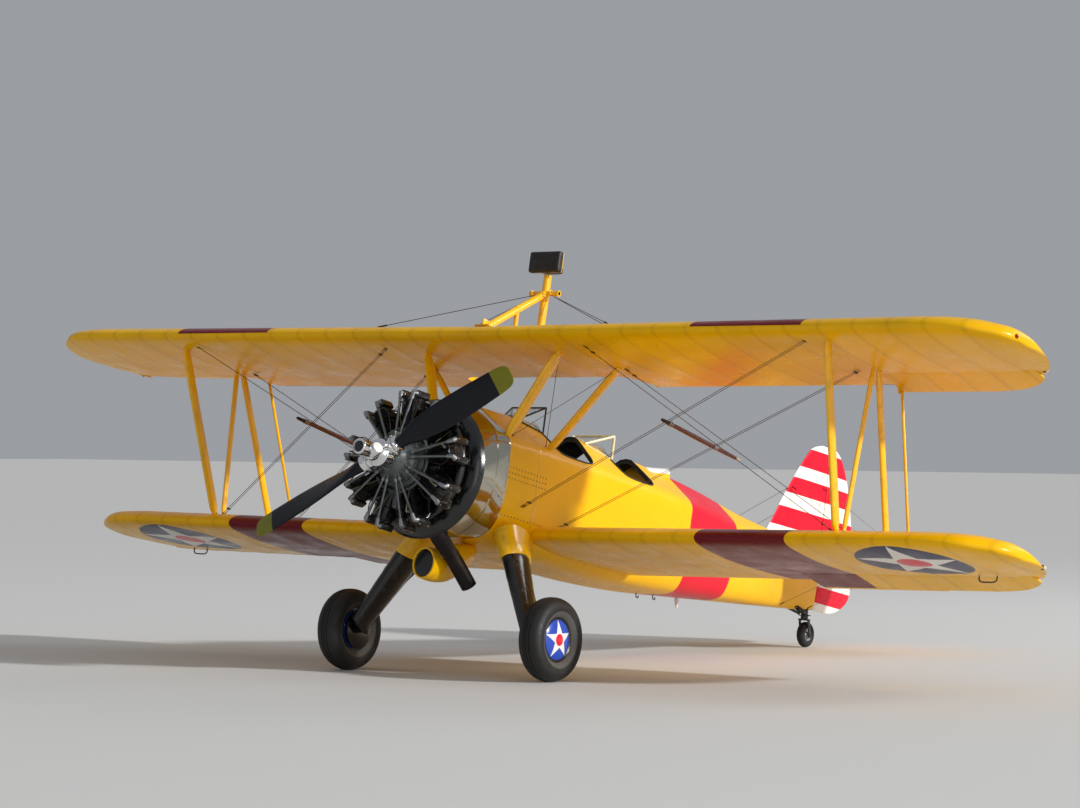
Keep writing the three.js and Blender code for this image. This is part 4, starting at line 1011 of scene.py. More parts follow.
# %% Tail paint
STRIPE_FROM, STRIPE_TO = 1100, 2750
STRIPES = [1214, 1370, 1510, 1697, 1837, 2024, 2164, 2331, 2441, 2632]
stripe_dope = Paint("striped_tail_fabric", **DOPE_GLOSS)
x, y, z = stripe_dope.xyz
tilted = (z - (y - 5550) * 0.03).spread(STRIPE_FROM, STRIPE_TO)
ramp = stripe_dope.add("ValToRGB", {0: tilted})
stops = ramp.color_ramp.elements
ramp.color_ramp.interpolation = "CONSTANT"
stops[0].color = WHITE
stops.remove(stops[1])
for i, height in enumerate(STRIPES):
    stops.new((height - STRIPE_FROM) / (STRIPE_TO - STRIPE_FROM)).color = WHITE if i % 2 else RED
taped(stripe_dope, z, doped(stripe_dope, ramp.outputs["Color"]), 20)

tail_dope = Paint("tailplane_doped_fabric", **DOPE_GLOSS)
taped(tail_dope, tail_dope.xyz[0], doped(tail_dope, YELLOW), 20)

# %% [markdown]
# Each surface is skinned through sections that go from its nose to its trailing edge and back, with a
# round nose and a thin tube at the rear. The tables give the outline; smoothing rounds it.

# %% Tail surfaces
# Shares of the length with shares of the half thickness, from the front edge to the rear edge
FIXED_SHAPE = [(0, 0), (0.01, 0.22), (0.04, 0.45), (0.12, 0.72), (0.3, 0.92), (0.6, 1.0), (1, 1.0)]
HINGED_SHAPE = [(-0.06, 0), (-0.05, 0.55), (-0.02, 0.9), (0.03, 1.0), (0.3, 0.85), (0.65, 0.5),
                (0.97, 0.2), (1, 0.08)]
NOSE_LENGTH = 420


def flat_surface(name, rows, shape, upright, hinge=None):
    """Sections of a tail surface; a row is its place across, front edge, rear edge and thickness."""
    rings = []
    for place_across, front, rear, thick in smooth_rows(rows, 4):
        start = hinge if hinge is not None else front
        ring = []
        for sign, points in ((1, shape), (-1, shape[:0:-1])):
            for share, half in points:
                y = start + share * (rear - start if share >= 0 else NOSE_LENGTH)
                off = sign * half * thick / 2
                ring.append(level(off, y, place_across) if upright else level(place_across, y, 1600 + off))
        rings.append(ring)
    return skin(name, rings)


fin = flat_surface("fin_skin", [
    [1560, 4440, 5486, 46], [1740, 4560, 5486, 44], [2180, 4832, 5486, 38], [2560, 5108, 5486, 30],
    [2650, 5215, 5486, 22], [2698, 5360, 5486, 12],
], FIXED_SHAPE, True)
finish(fin, stripe_dope, "fin", 40)
rudder = flat_surface("rudder_skin", [
    [1140, 5510, 5700, 20], [1170, 5510, 5880, 34], [1250, 5510, 6040, 44], [1366, 5510, 6144, 50],
    [1560, 5510, 6145, 50], [1790, 5510, 6096, 49], [2015, 5510, 6052, 48], [2350, 5510, 5925, 40],
    [2560, 5510, 5800, 32], [2670, 5510, 5690, 22], [2705, 5510, 5600, 10],
], HINGED_SHAPE, True, 5530)
finish(rudder, stripe_dope, "rudder", 40, "rudder")
plane = flat_surface("tailplane", [
    [36, 4620, 5340, 64], [500, 4690, 5340, 60], [1100, 4800, 5340, 50], [1500, 4900, 5340, 38],
    [1690, 4990, 5340, 28], [1780, 5110, 5340, 16], [1800, 5220, 5340, 8],
], FIXED_SHAPE, False)
finish_pair(plane, "tailplane_skin_{}", tail_dope, "tailplane_{}", 40)
elevator = flat_surface("elevator", [
    [110, 5340, 5560, 46], [260, 5340, 5830, 46], [900, 5340, 5835, 44], [1400, 5340, 5800, 36],
    [1640, 5340, 5730, 26], [1760, 5340, 5620, 16], [1800, 5340, 5500, 8],
], HINGED_SHAPE, False, 5370)
halves = [elevator, copy_of(elevator, "elevator_right", MIRROR)]
halves.append(rod("torque_tube", (-150, 5370, 1600), (150, 5370, 1600), 20, 20))
finish(joined("elevator_skin", halves), tail_dope, "elevator", 40, "elevator")

# %% [markdown]
# Thin streamlined wires brace the tail: from the fin to the tailplane above, and from the tailplane to the
# keel below. Small forked ends hold them.

# %% Tail bracing
WIRE_FORK = 46
# Start and end of each wire on the left side
TAIL_WIRES = [
    ((14, 4900, 2210), (1080, 4900, 1628)), ((16, 5440, 2300), (1130, 5300, 1622)),
    ((1080, 4900, 1572), (150, 4700, 1060)), ((1130, 5300, 1578), (70, 5320, 1130)),
]


def wire(name, start, end, wide=7, thin=2.2):
    """A flat streamlined wire with a round fork at each end."""
    along = (end - start).normalized()
    side = (Vector((0, 1, 0)) - along * along.y).normalized()
    rings = [[p + side * (math.cos(t) * wide * MM / 2) + along.cross(side) * (math.sin(t) * thin * MM / 2)
              for t in turns(8)]
             for p in (start + along * WIRE_FORK * MM * 0.6, end - along * WIRE_FORK * MM * 0.6)]
    parts = [skin(name, rings)]
    for at, way in ((start, along), (end, -along)):
        parts.append(pipe("wire_fork", [at, at + way * WIRE_FORK * MM, at + way * WIRE_FORK * 1.2 * MM],
                          [5, 5, 2.5], 8))
    return parts


parts = []
for sign in (-1, 1):
    for ends in TAIL_WIRES:
        parts += wire("tail_wire", *(level(sign * x, y, z) for x, y, z in ends))
finish(joined("tail_wires", parts), wire_steel, None, 50)
print("pieces so far:", len(made))

# %% [markdown]
# The nose is a nine-cylinder radial. Its black cylinders stand in front of a black dished plate, and
# behind the plate a polished cowl blends from the round plate to the peaked fuselage. Thin fins are what
# makes such an engine look right, so the barrel and the head carry them all.

# %% Cowl, dish, exhaust and scoop
THRUST_Z = 1262


def on_thrust(y):
    return level(0, y, THRUST_Z)


def circle_row(y, radius):
    return [y, radius, THRUST_Z, THRUST_Z + radius, 2, THRUST_Z - radius, 2, 0]


cowl_rows = [circle_row(-610, 440), circle_row(-603, 492), circle_row(-592, 522), circle_row(-575, 545)]
cowl_rows += smooth_rows([circle_row(-545, 562), [-330, 508, 1320, 1874, 2.1, 735, 2.2, 0.3],
                          [-61, 428, 1400, 1890, 2.3, 785, 3.4, 1]], 8)
parts = [skin("cowl", [former_ring(row) for row in cowl_rows])]
for y, half, wide, crown, power, keel, keel_power, peak in (cowl_rows[-1], cowl_rows[-8]):
    ring = former_ring([y, half + 2, wide, crown + 2, power, keel - 2, keel_power, peak])
    parts.append(skin("cowl_band", [[p + Vector((0, d, 0)) for p in ring] for d in (-0.011, 0.011)], False))
for row in (cowl_rows[-2], cowl_rows[-7]):
    for at in former_ring(row)[3::6]:
        parts.append(turned("cowl_screw", [(0, 3), (4, 2.5), (6, 0), (6, -3)], at - on_thrust(row[0]), at, 8))
finish(joined("accessory_cowl_skin", parts), polished_aluminium,
       "accessory_cowl", 30)

dish = turned("engine_dish", [
    (200, -634), (440, -634), (490, -629), (522, -618), (546, -602), (562, -580), (570, -556), (574, -552),
    (577, -556), (574, -561), (566, -585), (550, -607), (524, -625), (490, -637), (440, -642), (200, -642),
    (200, -634),
], (0, 1, 0), on_thrust(0), 96, False)
finish(dish, black_enamel, "engine_baffle", 50)

exhaust_path = rounded_path([level(130, -520, 800), level(135, -480, 735), level(185, -300, 580),
                             level(236, -112, 384)], 0.12, 6)
swell = [66 + 8 * max(0, 1 - abs(k - 4) / 5) for k in range(len(exhaust_path))]
tail_pipe = pipe("tail_pipe", exhaust_path, swell, 40)
pipe_end, pipe_way = exhaust_path[-1], (exhaust_path[-1] - exhaust_path[-2]).normalized()
carve(tail_pipe, pipe("pipe_bore", [pipe_end - pipe_way * 0.22, pipe_end + pipe_way * 0.05], 61, 40))
beads = [turned("pipe_bead", [(63, -5), (69, -4), (69, 4), (63, 5)], exhaust_path[k + 1] - exhaust_path[k],
                exhaust_path[k], 40, False) for k in (3, 10)]
finish(joined("exhaust_tail_pipe", [tail_pipe] + beads), burnt_steel,
       "exhaust_pipe", 40)


def scoop_ring(y, centre_z, half, tall):
    return [level(half * math.cos(t) - 20, y, centre_z + tall * math.sin(t)) for t in turns(48)]


scoop = skin("scoop", [scoop_ring(*row) for row in smooth_rows([
    [-420, 515, 110, 128], [-250, 530, 120, 145], [-60, 590, 110, 150], [160, 700, 80, 80],
], 6)])
carve(scoop, skin("scoop_mouth", [scoop_ring(-440, 513, 98, 116), scoop_ring(-396, 516, 98, 116)]))
finish(scoop, yellow_enamel, "air_scoop", 40)
# A black disc deep in the scoop's mouth: painted shade of the duct inside
plug = skin("scoop_plug", [scoop_ring(-397, 516, 98, 116), scoop_ring(-410, 516, 92, 110),
                           scoop_ring(-414, 516, 70, 84)])
finish(plug, black_enamel, None, 40)
print("pieces so far:", len(made))

# %% [markdown]
# One cylinder is modelled on top of the ring and copied eight times, forty degrees apart. Each has a
# finned barrel, a finned head, two rocker boxes with their covers, two plugs with their leads, an intake
# pipe at the rear and two push-rod tubes in front. What is bright is a piece of its own.

# %% Cylinders
CYLINDER_Y = -840
COUNT = 9
# Angles from a cylinder's middle line to its rocker boxes and to its push rods
ROCKER_LEAN, ROD_LEAN = 0.14, 1.2 * 0.085


def radial(angle, reach, y):
    """A point at an angle from straight up, and that far from the crank axis."""
    return level(reach * math.sin(angle), y, THRUST_Z + reach * math.cos(angle))


def nut(name, tall, wide, at, axis):
    """A small six-sided nut with a chamfer."""
    return turned(name, [(0, tall), (wide - 1, tall), (wide, tall - 3), (wide, 0)], axis, at, 6)


profile = [(0, 241), (86, 241), (86, 256), (66, 258)]
for h in range(268, 392, 9):
    profile += [(66, h - 1.5), (84, h - 0.8), (84, h + 0.8), (66, h + 1.5)]
profile += [(76, 394)]
for h in range(402, 500, 10):
    profile += [(76, h - 2), (95, h - 1), (95, h + 1), (76, h + 2)]
profile += [(72, 506), (60, 528), (30, 534), (0, 535)]
dark = [turned("barrel", profile, (0, 0, 1), level(0, CYLINDER_Y, THRUST_Z), 40)]
bright = []
for t in turns(10):
    stud = level(78 * math.cos(t), CYLINDER_Y + 78 * math.sin(t), THRUST_Z + 256)
    bright.append(turned("base_nut", [(0, 12), (6, 12), (7, 10), (7, 0)], (0, 0, 1), stud, 6))
for side in (-1, 1):
    angle = ROCKER_LEAN * side
    lean = Matrix.Rotation(angle, 3, "Y")
    dark.append(block("rocker_box", radial(angle, 544, CYLINDER_Y - 6), (58, 146, 52), 12, lean, 3))
    dark.append(block("rocker_cover", radial(angle, 572, CYLINDER_Y - 6), (50, 136, 10), 3, lean))
    dark.append(block("rocker_neck", radial(angle * 0.8, 512, CYLINDER_Y - 4), (44, 110, 40), 8, lean))
    for y in (-62, 50):
        at = radial(angle, 577, CYLINDER_Y + y)
        bright.append(turned("cover_nut", [(0, 7), (6, 7), (8, 4), (8, 0)],
                             at - on_thrust(CYLINDER_Y + y), at, 6))
    foot, head = radial(ROD_LEAN * side, 136, -1000), radial(1.4 * 0.085 * side, 528, -948)
    reach = (head - foot).normalized()
    bright.append(painted(dull_steel, pipe("push_rod_tube", [foot, head], 11, 16)))
    for at in (foot + reach * 0.055, head - reach * 0.02):
        bright.append(pipe("tube_collar", [at - reach * 0.012, at + reach * 0.012], 16, 16))
    elbow = [head - reach * 0.01, head + reach * 0.02, radial(angle, 548, CYLINDER_Y - 76)]
    bright.append(pipe("rocker_elbow", elbow, [17, 19, 24], 14))
for way in (-1, 1):
    at = level(way * 22, CYLINDER_Y + way * 84, THRUST_Z + 452)
    out = Vector((0.15 * way, way, 0.35)).normalized()
    spark_plug = [at + out * d * MM for d in (-10, 28, 30, 52)]
    bright.append(pipe("spark_plug", spark_plug, [11, 11, 7, 6], 6))
    lead_end = at + out * 0.05
    harness = level(way * 40, -905 if way < 0 else -760, THRUST_Z + 262)
    lead = rounded_path([lead_end, lead_end + out * 0.035, harness + Vector((0, way * 0.05, 0.1)),
                         harness], 0.05)
    bright.append(painted(webbing, pipe("plug_lead", lead, 5, 8)))
dark.append(bent("intake_pipe", [(-70, -735, THRUST_Z + 225), (-86, -715, THRUST_Z + 330),
                                 (-60, -735, THRUST_Z + 475), (-30, -790, THRUST_Z + 500)], 60, 24, 16, 6))
dark.append(bent("exhaust_stub", [(40, -790, THRUST_Z + 500), (62, -725, THRUST_Z + 505),
                                  (66, -700, THRUST_Z + 455)], 40, 27, 16))
drain = rounded_path([radial(0.16, 500, -935), radial(0.26, 440, -925), radial(0.24, 330, -930),
                      radial(0.16, 280, -915)], 0.04)
bright.append(painted(wire_steel, pipe("oil_return", drain, 4.5, 8)))
for piece in bright:
    if not piece.data.materials:
        painted(cast_aluminium, piece)


def round_the_crank(name, pieces):
    """Nine copies of one cylinder's pieces."""
    one = joined(name, pieces)
    ring = [copy_of(one, name, Matrix.Translation(on_thrust(0)) @ Matrix.Rotation(-turn, 4, "Y")
                    @ Matrix.Translation(-on_thrust(0))) for turn in turns(COUNT)]
    bpy.data.objects.remove(one)
    return ring


black_set, bright_set = round_the_crank("cylinder", dark), round_the_crank("cylinder_fittings", bright)
ring_turns = turns(72) + [2 * math.pi]
black_set.append(pipe("collector_ring", [radial(t, 448, -692) for t in ring_turns], 34, 20, False))
finish(joined("engine_cylinders_dressed", black_set), iron, "engine_cylinders", 35)
finish(joined("engine_fittings", bright_set), None, None, 40)

# %% [markdown]
# The crankcase is turned from its profile. The nose case carries a ring of nuts, the harness ring for the
# plug leads runs round in front, and the oil sump hangs between the two lowest cylinders.

# %% Crankcase
parts = [turned("crankcase", [
    (0, -1211), (38, -1211), (38, -1097), (80, -1094), (92, -1090), (112, -1066), (122, -1052), (150, -990),
    (178, -962), (196, -950), (206, -948), (206, -936), (200, -934), (200, -922), (226, -908), (232, -903),
    (232, -778), (240, -776), (240, -764), (232, -762), (232, -704), (226, -699), (200, -690), (200, -611),
], (0, 1, 0), on_thrust(0), 90)]
for name, count, reach, y, wide in (("case_nut", 27, 196, -951, 7), ("nose_nut", 18, 100, -1080, 6)):
    for t in turns(count):
        parts.append(nut(name, 12, wide, radial(t + math.pi / count, reach, y), (0, -1, 0)))
for t in turns(COUNT):
    for angle in (t - ROD_LEAN, t + ROD_LEAN):
        parts.append(pipe("tappet_guide", [radial(angle, 128, -1003), radial(angle, 166, -990)],
                          [20, 17], 14))
parts.append(pipe("harness_ring", [radial(t, 262, -905) for t in ring_turns], 13, 12, False))
parts.append(block("oil_sump", radial(math.pi, 300, -860), (74, 110, 190), 22, None, 4))
parts.append(block("governor", level(0, -1030, THRUST_Z + 168), (60, 70, 90), 14, None, 3))
finish(joined("engine_case_dressed", parts), case_enamel, "engine_crankcase", 35)
print("pieces so far:", len(made))

# %% [markdown]
# The propeller has two metal blades in a chromed hub. The pitch cylinder in front ends in a bright rim round
# a black disc, painted shade of its open end, and a round counterweight with a white cap stands beside it on
# each blade's root. The blades are nearly black with olive-yellow tips.

# %% Propeller
PROP = level(0, -1165, THRUST_Z)
AHEAD = Vector((0, -1, 0))
BLADE_REST = math.radians(28.8)
TIP_FROM = 1180
# Radius, chord, thickness, pitch in degrees
BLADE_ROWS = smooth_rows([
    [190, 104, 104, 45], [260, 116, 92, 44], [380, 178, 58, 40], [600, 222, 34, 32], [850, 226, 24, 25],
    [1100, 210, 17, 20], [1240, 196, 13, 18], [1305, 172, 10, 17], [1336, 130, 9, 17], [1350, 66, 6, 17],
], 5)

blade_paint = Paint("blade_paint_with_olive_tip", Specular_IOR_Level=0.28)
x, _, z = blade_paint.xyz
from_hub = z - THRUST_Z
in_tip = (from_hub * from_hub + x * x).doing("SQRT") > TIP_FROM
scuffs = blade_paint.noise(120, 5).spread(0.5, 0.75, 0, 0.25)
blade_colour = blade_paint.blend(in_tip, chip("070a14"), chip("7d7a18"))
blade_paint.feed(Base_Color=blade_paint.blend(scuffs, blade_colour, chip("1f2229")),
                 Roughness=scuffs.spread(0, 0.25, 0.26, 0.4))

hub_parts = [painted(chrome, turned("hub", [
    (39, -57), (90, -57), (95, -52), (112, -38), (112, 46), (104, 54), (78, 70), (72, 84), (70, 100),
    (76, 104), (80, 108), (80, 140), (74, 152), (65, 158), (64, 280), (63, 290), (59, 296), (53, 299),
    (50, 297), (48, 288),
# A black disc inside the dome's rim: painted shade of its open end
], AHEAD, PROP, 64)), painted(black_enamel, turned("dome_face", [
    (0, 293), (14, 293), (17, 290), (44, 289), (49, 284),
], AHEAD, PROP, 64))]
for name, angle in (("a", BLADE_REST), ("b", BLADE_REST + math.pi)):
    out = Vector((math.cos(angle), 0, math.sin(angle)))
    side = AHEAD.cross(out).normalized()
    rings = []
    for reach, chord, thick, pitch in BLADE_ROWS:
        tilt = math.radians(pitch)
        along = side * math.cos(tilt) + AHEAD * math.sin(tilt)
        flat = AHEAD * math.cos(tilt) - side * math.sin(tilt)
        rings.append([PROP + (out * reach + along * (chord / 2 * math.cos(t))
                              + flat * (thick / 2 * math.sin(t))) * MM
                      for t in turns(28)])
    finish(skin("blade", rings), blade_paint, f"prop_blade_{name}", 50, "propeller")

    weight_at = PROP + out * 0.032 - side * 0.03 + AHEAD * 0.15
    weight_way = (out + AHEAD * 0.25).normalized()
    for part_paint, start, way, reaches, radii, count in (
        (chrome, PROP, out, (40, 96, 104, 150, 156, 186, 192), [60, 60, 66, 66, 70, 70, 60], 48),
        (chrome, weight_at, weight_way, (-20, 50, 56), [52, 52, 47], 40),
        (white_enamel, weight_at, weight_way, (55, 61, 64), [46, 45, 38], 40),
    ):
        round_part = pipe("hub_part", [start + way * reach * MM for reach in reaches], radii, count)
        hub_parts.append(painted(part_paint, round_part))
    arm = pipe("counterweight_arm", [PROP + out * 0.12, PROP + out * 0.1 + AHEAD * 0.09, weight_at], 26, 16)
    clamp = turned("clamp_ring", [(70, 128), (76, 130), (76, 148), (70, 150)], out, PROP, 48, False)
    hub_parts += [painted(chrome, arm), painted(chrome, clamp)]
    for sign in (-1, 1):
        bolt = block("clamp_bolt", PROP + out * 0.139 + side * sign * 0.08, (26, 44, 18), 4)
        hub_parts.append(painted(bright_steel, bolt))
finish(joined("propeller_hub", hub_parts), None, "prop_hub", 40, "propeller")
print("pieces so far:", len(made))

# %% [markdown]
# Streamlined struts hold the wings apart: an N of three on each side, and two pairs of cabane struts. Their
# section is an ellipse with a drawn-out tail, and they narrow to a fork where they meet a wing.

# %% Struts
FRONT_SPAR, REAR_SPAR = 222, 1032
# Distance out of the skin and share of the full chord
STRUT_END = [(-12, 0.55), (14, 0.58), (36, 0.82), (64, 0.97), (110, 1)]


def slender_ring(centre, along, chord, thick, points=24):
    """Streamlined section square to a line: round nose forward, thin tail aft."""
    aft = (Vector((0, 1, 0)) - along * along.y).normalized()
    square = along.cross(aft)
    return [centre + aft * (math.cos(t) * chord / 2 * MM)
            + square * (math.sin(t) * (1 - 0.28 * math.cos(t)) * thick / 2 * MM) for t in turns(points)]


def strut(name, foot, head, chord, thick, foot_skin, head_skin):
    """A strut whose ends narrow where they leave the two skins; the last two are lengths inside them."""
    along = (head - foot).normalized()
    length = (head - foot).length / MM
    stations = [(foot_skin + out, share) for out, share in STRUT_END]
    stations += [(length - head_skin - out, share) for out, share in reversed(STRUT_END)]
    parts = [skin(name, [slender_ring(foot + along * distance * MM, along, chord * share,
                                       thick * (0.4 + 0.6 * share))
                         for distance, share in stations])]
    for distance in (foot_skin + 8, length - head_skin - 8):
        at = foot + along * distance * MM
        half_bolt = level(thick * 0.6, 0, 0)
        parts.append(block("strut_fork", at, (thick * 0.9, chord * 0.36, 30), 3))
        parts.append(pipe("fork_bolt", [at - half_bolt, at + half_bolt], 6, 8))
    return joined(name, parts)


def inside(aft, side, up):
    """How far a point over the chord line lies inside the skin."""
    return abs(aerofoil_height(aft / CHORD, side) * CHORD - up)


for name, top_aft, foot_aft, chord, thick in (
    ("front", FRONT_SPAR, FRONT_SPAR, 102, 40), ("diagonal", 966, 306, 60, 29),
    ("rear", REAR_SPAR, REAR_SPAR, 80, 36),
):
    foot, head = on_wing(LOWER, 3212, foot_aft, 40), on_wing(UPPER, 3315, top_aft, 0)
    one = strut(name, foot, head, chord, thick, inside(foot_aft, 1, 40), inside(top_aft, -1, 0))
    finish_pair(one, f"interplane_{name}_{{}}", yellow_enamel, f"strut_{name}_{{}}", 45)
for name, foot_y, top_x, top_aft, chord, thick in (
    ("front", -40, 704, 385, 128, 46), ("rear", 550, 1010, 840, 102, 42),
):
    foot, head = level(352, foot_y, 1625), on_wing(UPPER, top_x, top_aft, 0)
    one = strut(name, foot, head, chord, thick, 30, inside(top_aft, -1, 0) * 1.15)
    finish_pair(one, f"cabane_{name}_{{}}_dressed", yellow_enamel,
                f"cabane_{name}_{{}}", 45)

# %% [markdown]
# Flat steel wires run in pairs: flying wires from the lower wing root out to the top of the struts, and
# landing wires from the cabane down to their feet. Where they cross, a round wooden spreader is clamped
# to them so that they don't flutter. It is reddish brown, with a dark front end and a cream rear end.

# %% Wires and spreaders
# Start, end, distance apart, place of the clamps, width and thickness
FLYING = {
    "front": (level(420, 190, 1101), on_wing(UPPER, 3205, FRONT_SPAR - 30, -20), 30, 90, 9, 3),
    "rear": (level(420, 724, 1024), on_wing(UPPER, 3205, REAR_SPAR - 34, -20), 30, 90, 9, 3),
}
LANDING = {
    "front": (on_skin(UPPER, 1010, FRONT_SPAR, -1, -10), on_skin(LOWER, 3170, FRONT_SPAR, 1, -10),
              24, 110, 8, 2.6),
    "rear": (on_skin(UPPER, 1000, 850, -1, -10), on_skin(LOWER, 3170, REAR_SPAR, 1, -10), 24, 110, 8, 2.6),
}


def double_wire(name, start, end, apart, clamp_at, wide, thin):
    """Two wires side by side with a small clamp near each end."""
    along = (end - start).normalized() * clamp_at * MM
    aside = level(0, apart, 0)
    parts = wire(name, start, end, wide, thin) + wire(name, start + aside, end + aside, wide, thin)
    for at in (start + along, end - along):
        parts.append(pipe("wire_clamp", [at - aside * 0.3, at + aside * 1.3], 8, 8))
    return joined(name, parts)


for end in FLYING:
    finish_pair(double_wire("flying_wires", *FLYING[end]), f"flying_wires_{end}_{{}}_dressed",
                wire_steel, f"flying_wires_{end}_{{}}", 50)
    finish_pair(double_wire("landing_wires", *LANDING[end]), f"landing_wires_{end}_{{}}",
                wire_steel, None, 50)

spreader_wood = Paint("varnished_spruce_with_painted_ends",
                      Coat_Weight=0.3, Coat_Roughness=0.15, Roughness=0.4)
y = spreader_wood.xyz[1]
wood = spreader_wood.blend(spreader_wood.noise(9, 4, (1, 0.06, 1)), chip("4a1c12"), chip("8c4630"))
wood = spreader_wood.blend(y > 1048, wood, chip("e8dcae"))
spreader_wood.feed(Base_Color=spreader_wood.blend(y < 30, wood, chip("15120f")))
front_end, rear_end = level(1883, -65, 1785), level(1883, 1110, 1700)
along = (rear_end - front_end).normalized()
stations = [0, 0.006, 0.03, 0.2, 0.4, 0.6, 0.8, 0.97, 0.994, 1]
one = pipe("spreader", [front_end.lerp(rear_end, s) for s in stations],
           [6, 12, 15, 18, 20, 20, 18, 15, 12, 6], 20)
finish_pair(one, "wire_spreader_{}", spreader_wood, None, 50)
clips = [pipe("spreader_clip", [front_end + along * d * MM, front_end + along * (d + 16) * MM], 22, 20)
         for d in (104, 132, 778, 806)]
finish_pair(joined("clips", clips), "spreader_clips_{}", bright_steel, None, 50)

cabane_wires = []
for sign in (-1, 1):
    for (x, aft), foot in (((674, 385), (352, 520, 1640)), ((980, 840), (352, 0, 1640))):
        head = on_skin(UPPER, x, aft, -1, -6)
        head.x *= sign
        cabane_wires += wire("cabane_wire", head, level(sign * foot[0], *foot[1:]), 7, 2.4)
finish(joined("cabane_wires", cabane_wires), wire_steel, None, 50)
print("pieces so far:", len(made))

# %% [markdown]
# Each main leg has a yellow fairing on top and a black sleeve below it. The wheel's disc carries the same
# star as the wings, and the tyre has a greyed sidewall. The tyre's section is one closed loop, turned.

# %% Legs
LEG_ASIDE = Vector((0.87, 0, 0.49))


def leg_ring(centre, forward, aft, thick, points=4):
    """Streamlined section in the plane of the leg, from a smoothed loop."""
    loop = [[-forward, 0], [-forward * 0.8, 0.32], [-forward * 0.2, 0.5], [aft * 0.45, 0.4], [aft, 0.03],
            [aft, -0.03], [aft * 0.45, -0.4], [-forward * 0.2, -0.5], [-forward * 0.8, -0.32]]
    wrapped = smooth_rows([loop[-1]] + loop + loop[:2], points)[points:points * (1 + len(loop))]
    return [centre + Vector((0, c * MM, 0)) + LEG_ASIDE * (t * thick * MM) for c, t in wrapped]


LEG_SPLIT, LEG_FOOT = level(543, 64, 650), level(868, -64, 60)
down_leg = (LEG_FOOT - LEG_SPLIT).normalized()
fairing = skin("fairing", [leg_ring(*row) for row in (
    (level(400, 90, 880), 140, 330, 200), (level(440, 86, 800), 165, 300, 195),
    (level(486, 77, 730), 173, 245, 189), (LEG_SPLIT, 180, 190, 182),
    (LEG_SPLIT + down_leg * 0.004, 176, 184, 176),
)])
finish_pair(fairing, "gear_fairing_{}_dressed", yellow_enamel, "gear_fairing_{}", 45)

sleeve_rows = [(0.001, 168, 176, 160), (0.02, 170, 178, 164)]
for k in range(1, 13):
    share = k / 12
    ripple = 2.5 * math.sin(k * 2.6) * (1 - share)
    sleeve_rows.append((0.02 + 0.975 * share, 170 - 58 * share + ripple, 178 - 48 * share + ripple,
                        164 - 42 * share + ripple))
leg_parts = [skin("sleeve", [
    *[leg_ring(LEG_SPLIT.lerp(LEG_FOOT, share), *sizes) for share, *sizes in sleeve_rows],
    leg_ring(LEG_FOOT + level(2, 30, -40), 95, 100, 100), leg_ring(level(872, 0, -20), 70, 70, 80),
])]
leg_parts.append(rod("axle", (850, 0, 0), (1100, 0, 0), 25.5, 32))
leg_parts.append(turned("brake_plate", [(0, 0), (150, 0), (160, 6), (160, 30), (0, 30)], (1, 0, 0),
                        level(925, 0, 0), 48))
leg_parts.append(skin("sleeve_strap", [
    leg_ring(LEG_SPLIT.lerp(LEG_FOOT, s), 142, 155, 146) for s in (0.47, 0.5)
], False))
leg_parts.append(bent("brake_line", [(523, 254, 630), (838, 76, 180), (900, 120, 60), (925, 60, 40)],
                      60, 6, 8))
finish_pair(joined("leg", leg_parts), "gear_leg_{}_dressed", black_enamel,
            "gear_leg_{}", 45)

# %% Wheels and tyres
HALF_TRACK = 1036
disc_paint = Paint("wheel_disc_with_star", Coat_Weight=0.4, Coat_Roughness=0.08, Roughness=0.28)
_, y, z = disc_paint.xyz
disc_paint.feed(Base_Color=star_roundel(disc_paint, chip("17181a"), z, y, 160, PITCH, chip("2348b4")))

dusty_tyre = Paint("tyre_rubber_with_dusty_sidewall")
_, y, z = dusty_tyre.xyz
sidewall = (y * y + z * z).doing("SQRT").spread(222, 232, 1, 0) * 0.85
speckle = dusty_tyre.noise(30, 5).spread(0.35, 0.7, 0, 0.5)
rubber = dusty_tyre.blend(speckle, chip("0d0d0e"), chip("2b2925"))
dusty_tyre.feed(Base_Color=dusty_tyre.blend(sidewall, rubber, chip("5c5952")),
                Roughness=speckle.spread(0, 0.5, 0.5, 0.75))


def wheel_ring(name, profile, at, segments, caps=False):
    return turned(name, profile, (1, 0, 0), at, segments, caps)


def closed_loop(half_profile):
    """A tyre's whole section from its left half."""
    mirrored = [(r, -h) for r, h in reversed(half_profile) if h]
    return half_profile + mirrored + half_profile[:1]


tyre = wheel_ring("tyre", closed_loop([
    (182.5, -70), (196, -84), (222, -98), (228, -101), (236, -102), (250, -107), (268, -107), (284, -103),
    (300, -96), (312, -86), (322, -72), (330, -54), (335, -38), (336, -30), (331, -29), (331, -23),
    (337, -22), (338, -8), (333, -7), (333, -1),
]), level(HALF_TRACK, 0, 0), 96)
disc = wheel_ring("disc", [
    (0, 92), (26, 91), (34, 88), (70, 86), (120, 78), (158, 68), (163, 64), (168, 66), (176, 70), (181.5, 69),
    (181.5, -66), (150, -68), (148, -50), (60, -50), (58, -66), (27, -66), (27, 40), (0, 40),
], level(HALF_TRACK, 0, 0), 96, True)
finish_pair(tyre, "tyre_{}_dressed", dusty_tyre, "tyre_{}", 30, "wheel_{}")
finish_pair(disc, "wheel_{}_dressed", disc_paint, "wheel_{}", 30, "wheel_{}")

# %% [markdown]
# The tail wheel turns in a steered fork behind a short bracket. A coil spring and a shock strut show
# beside it.

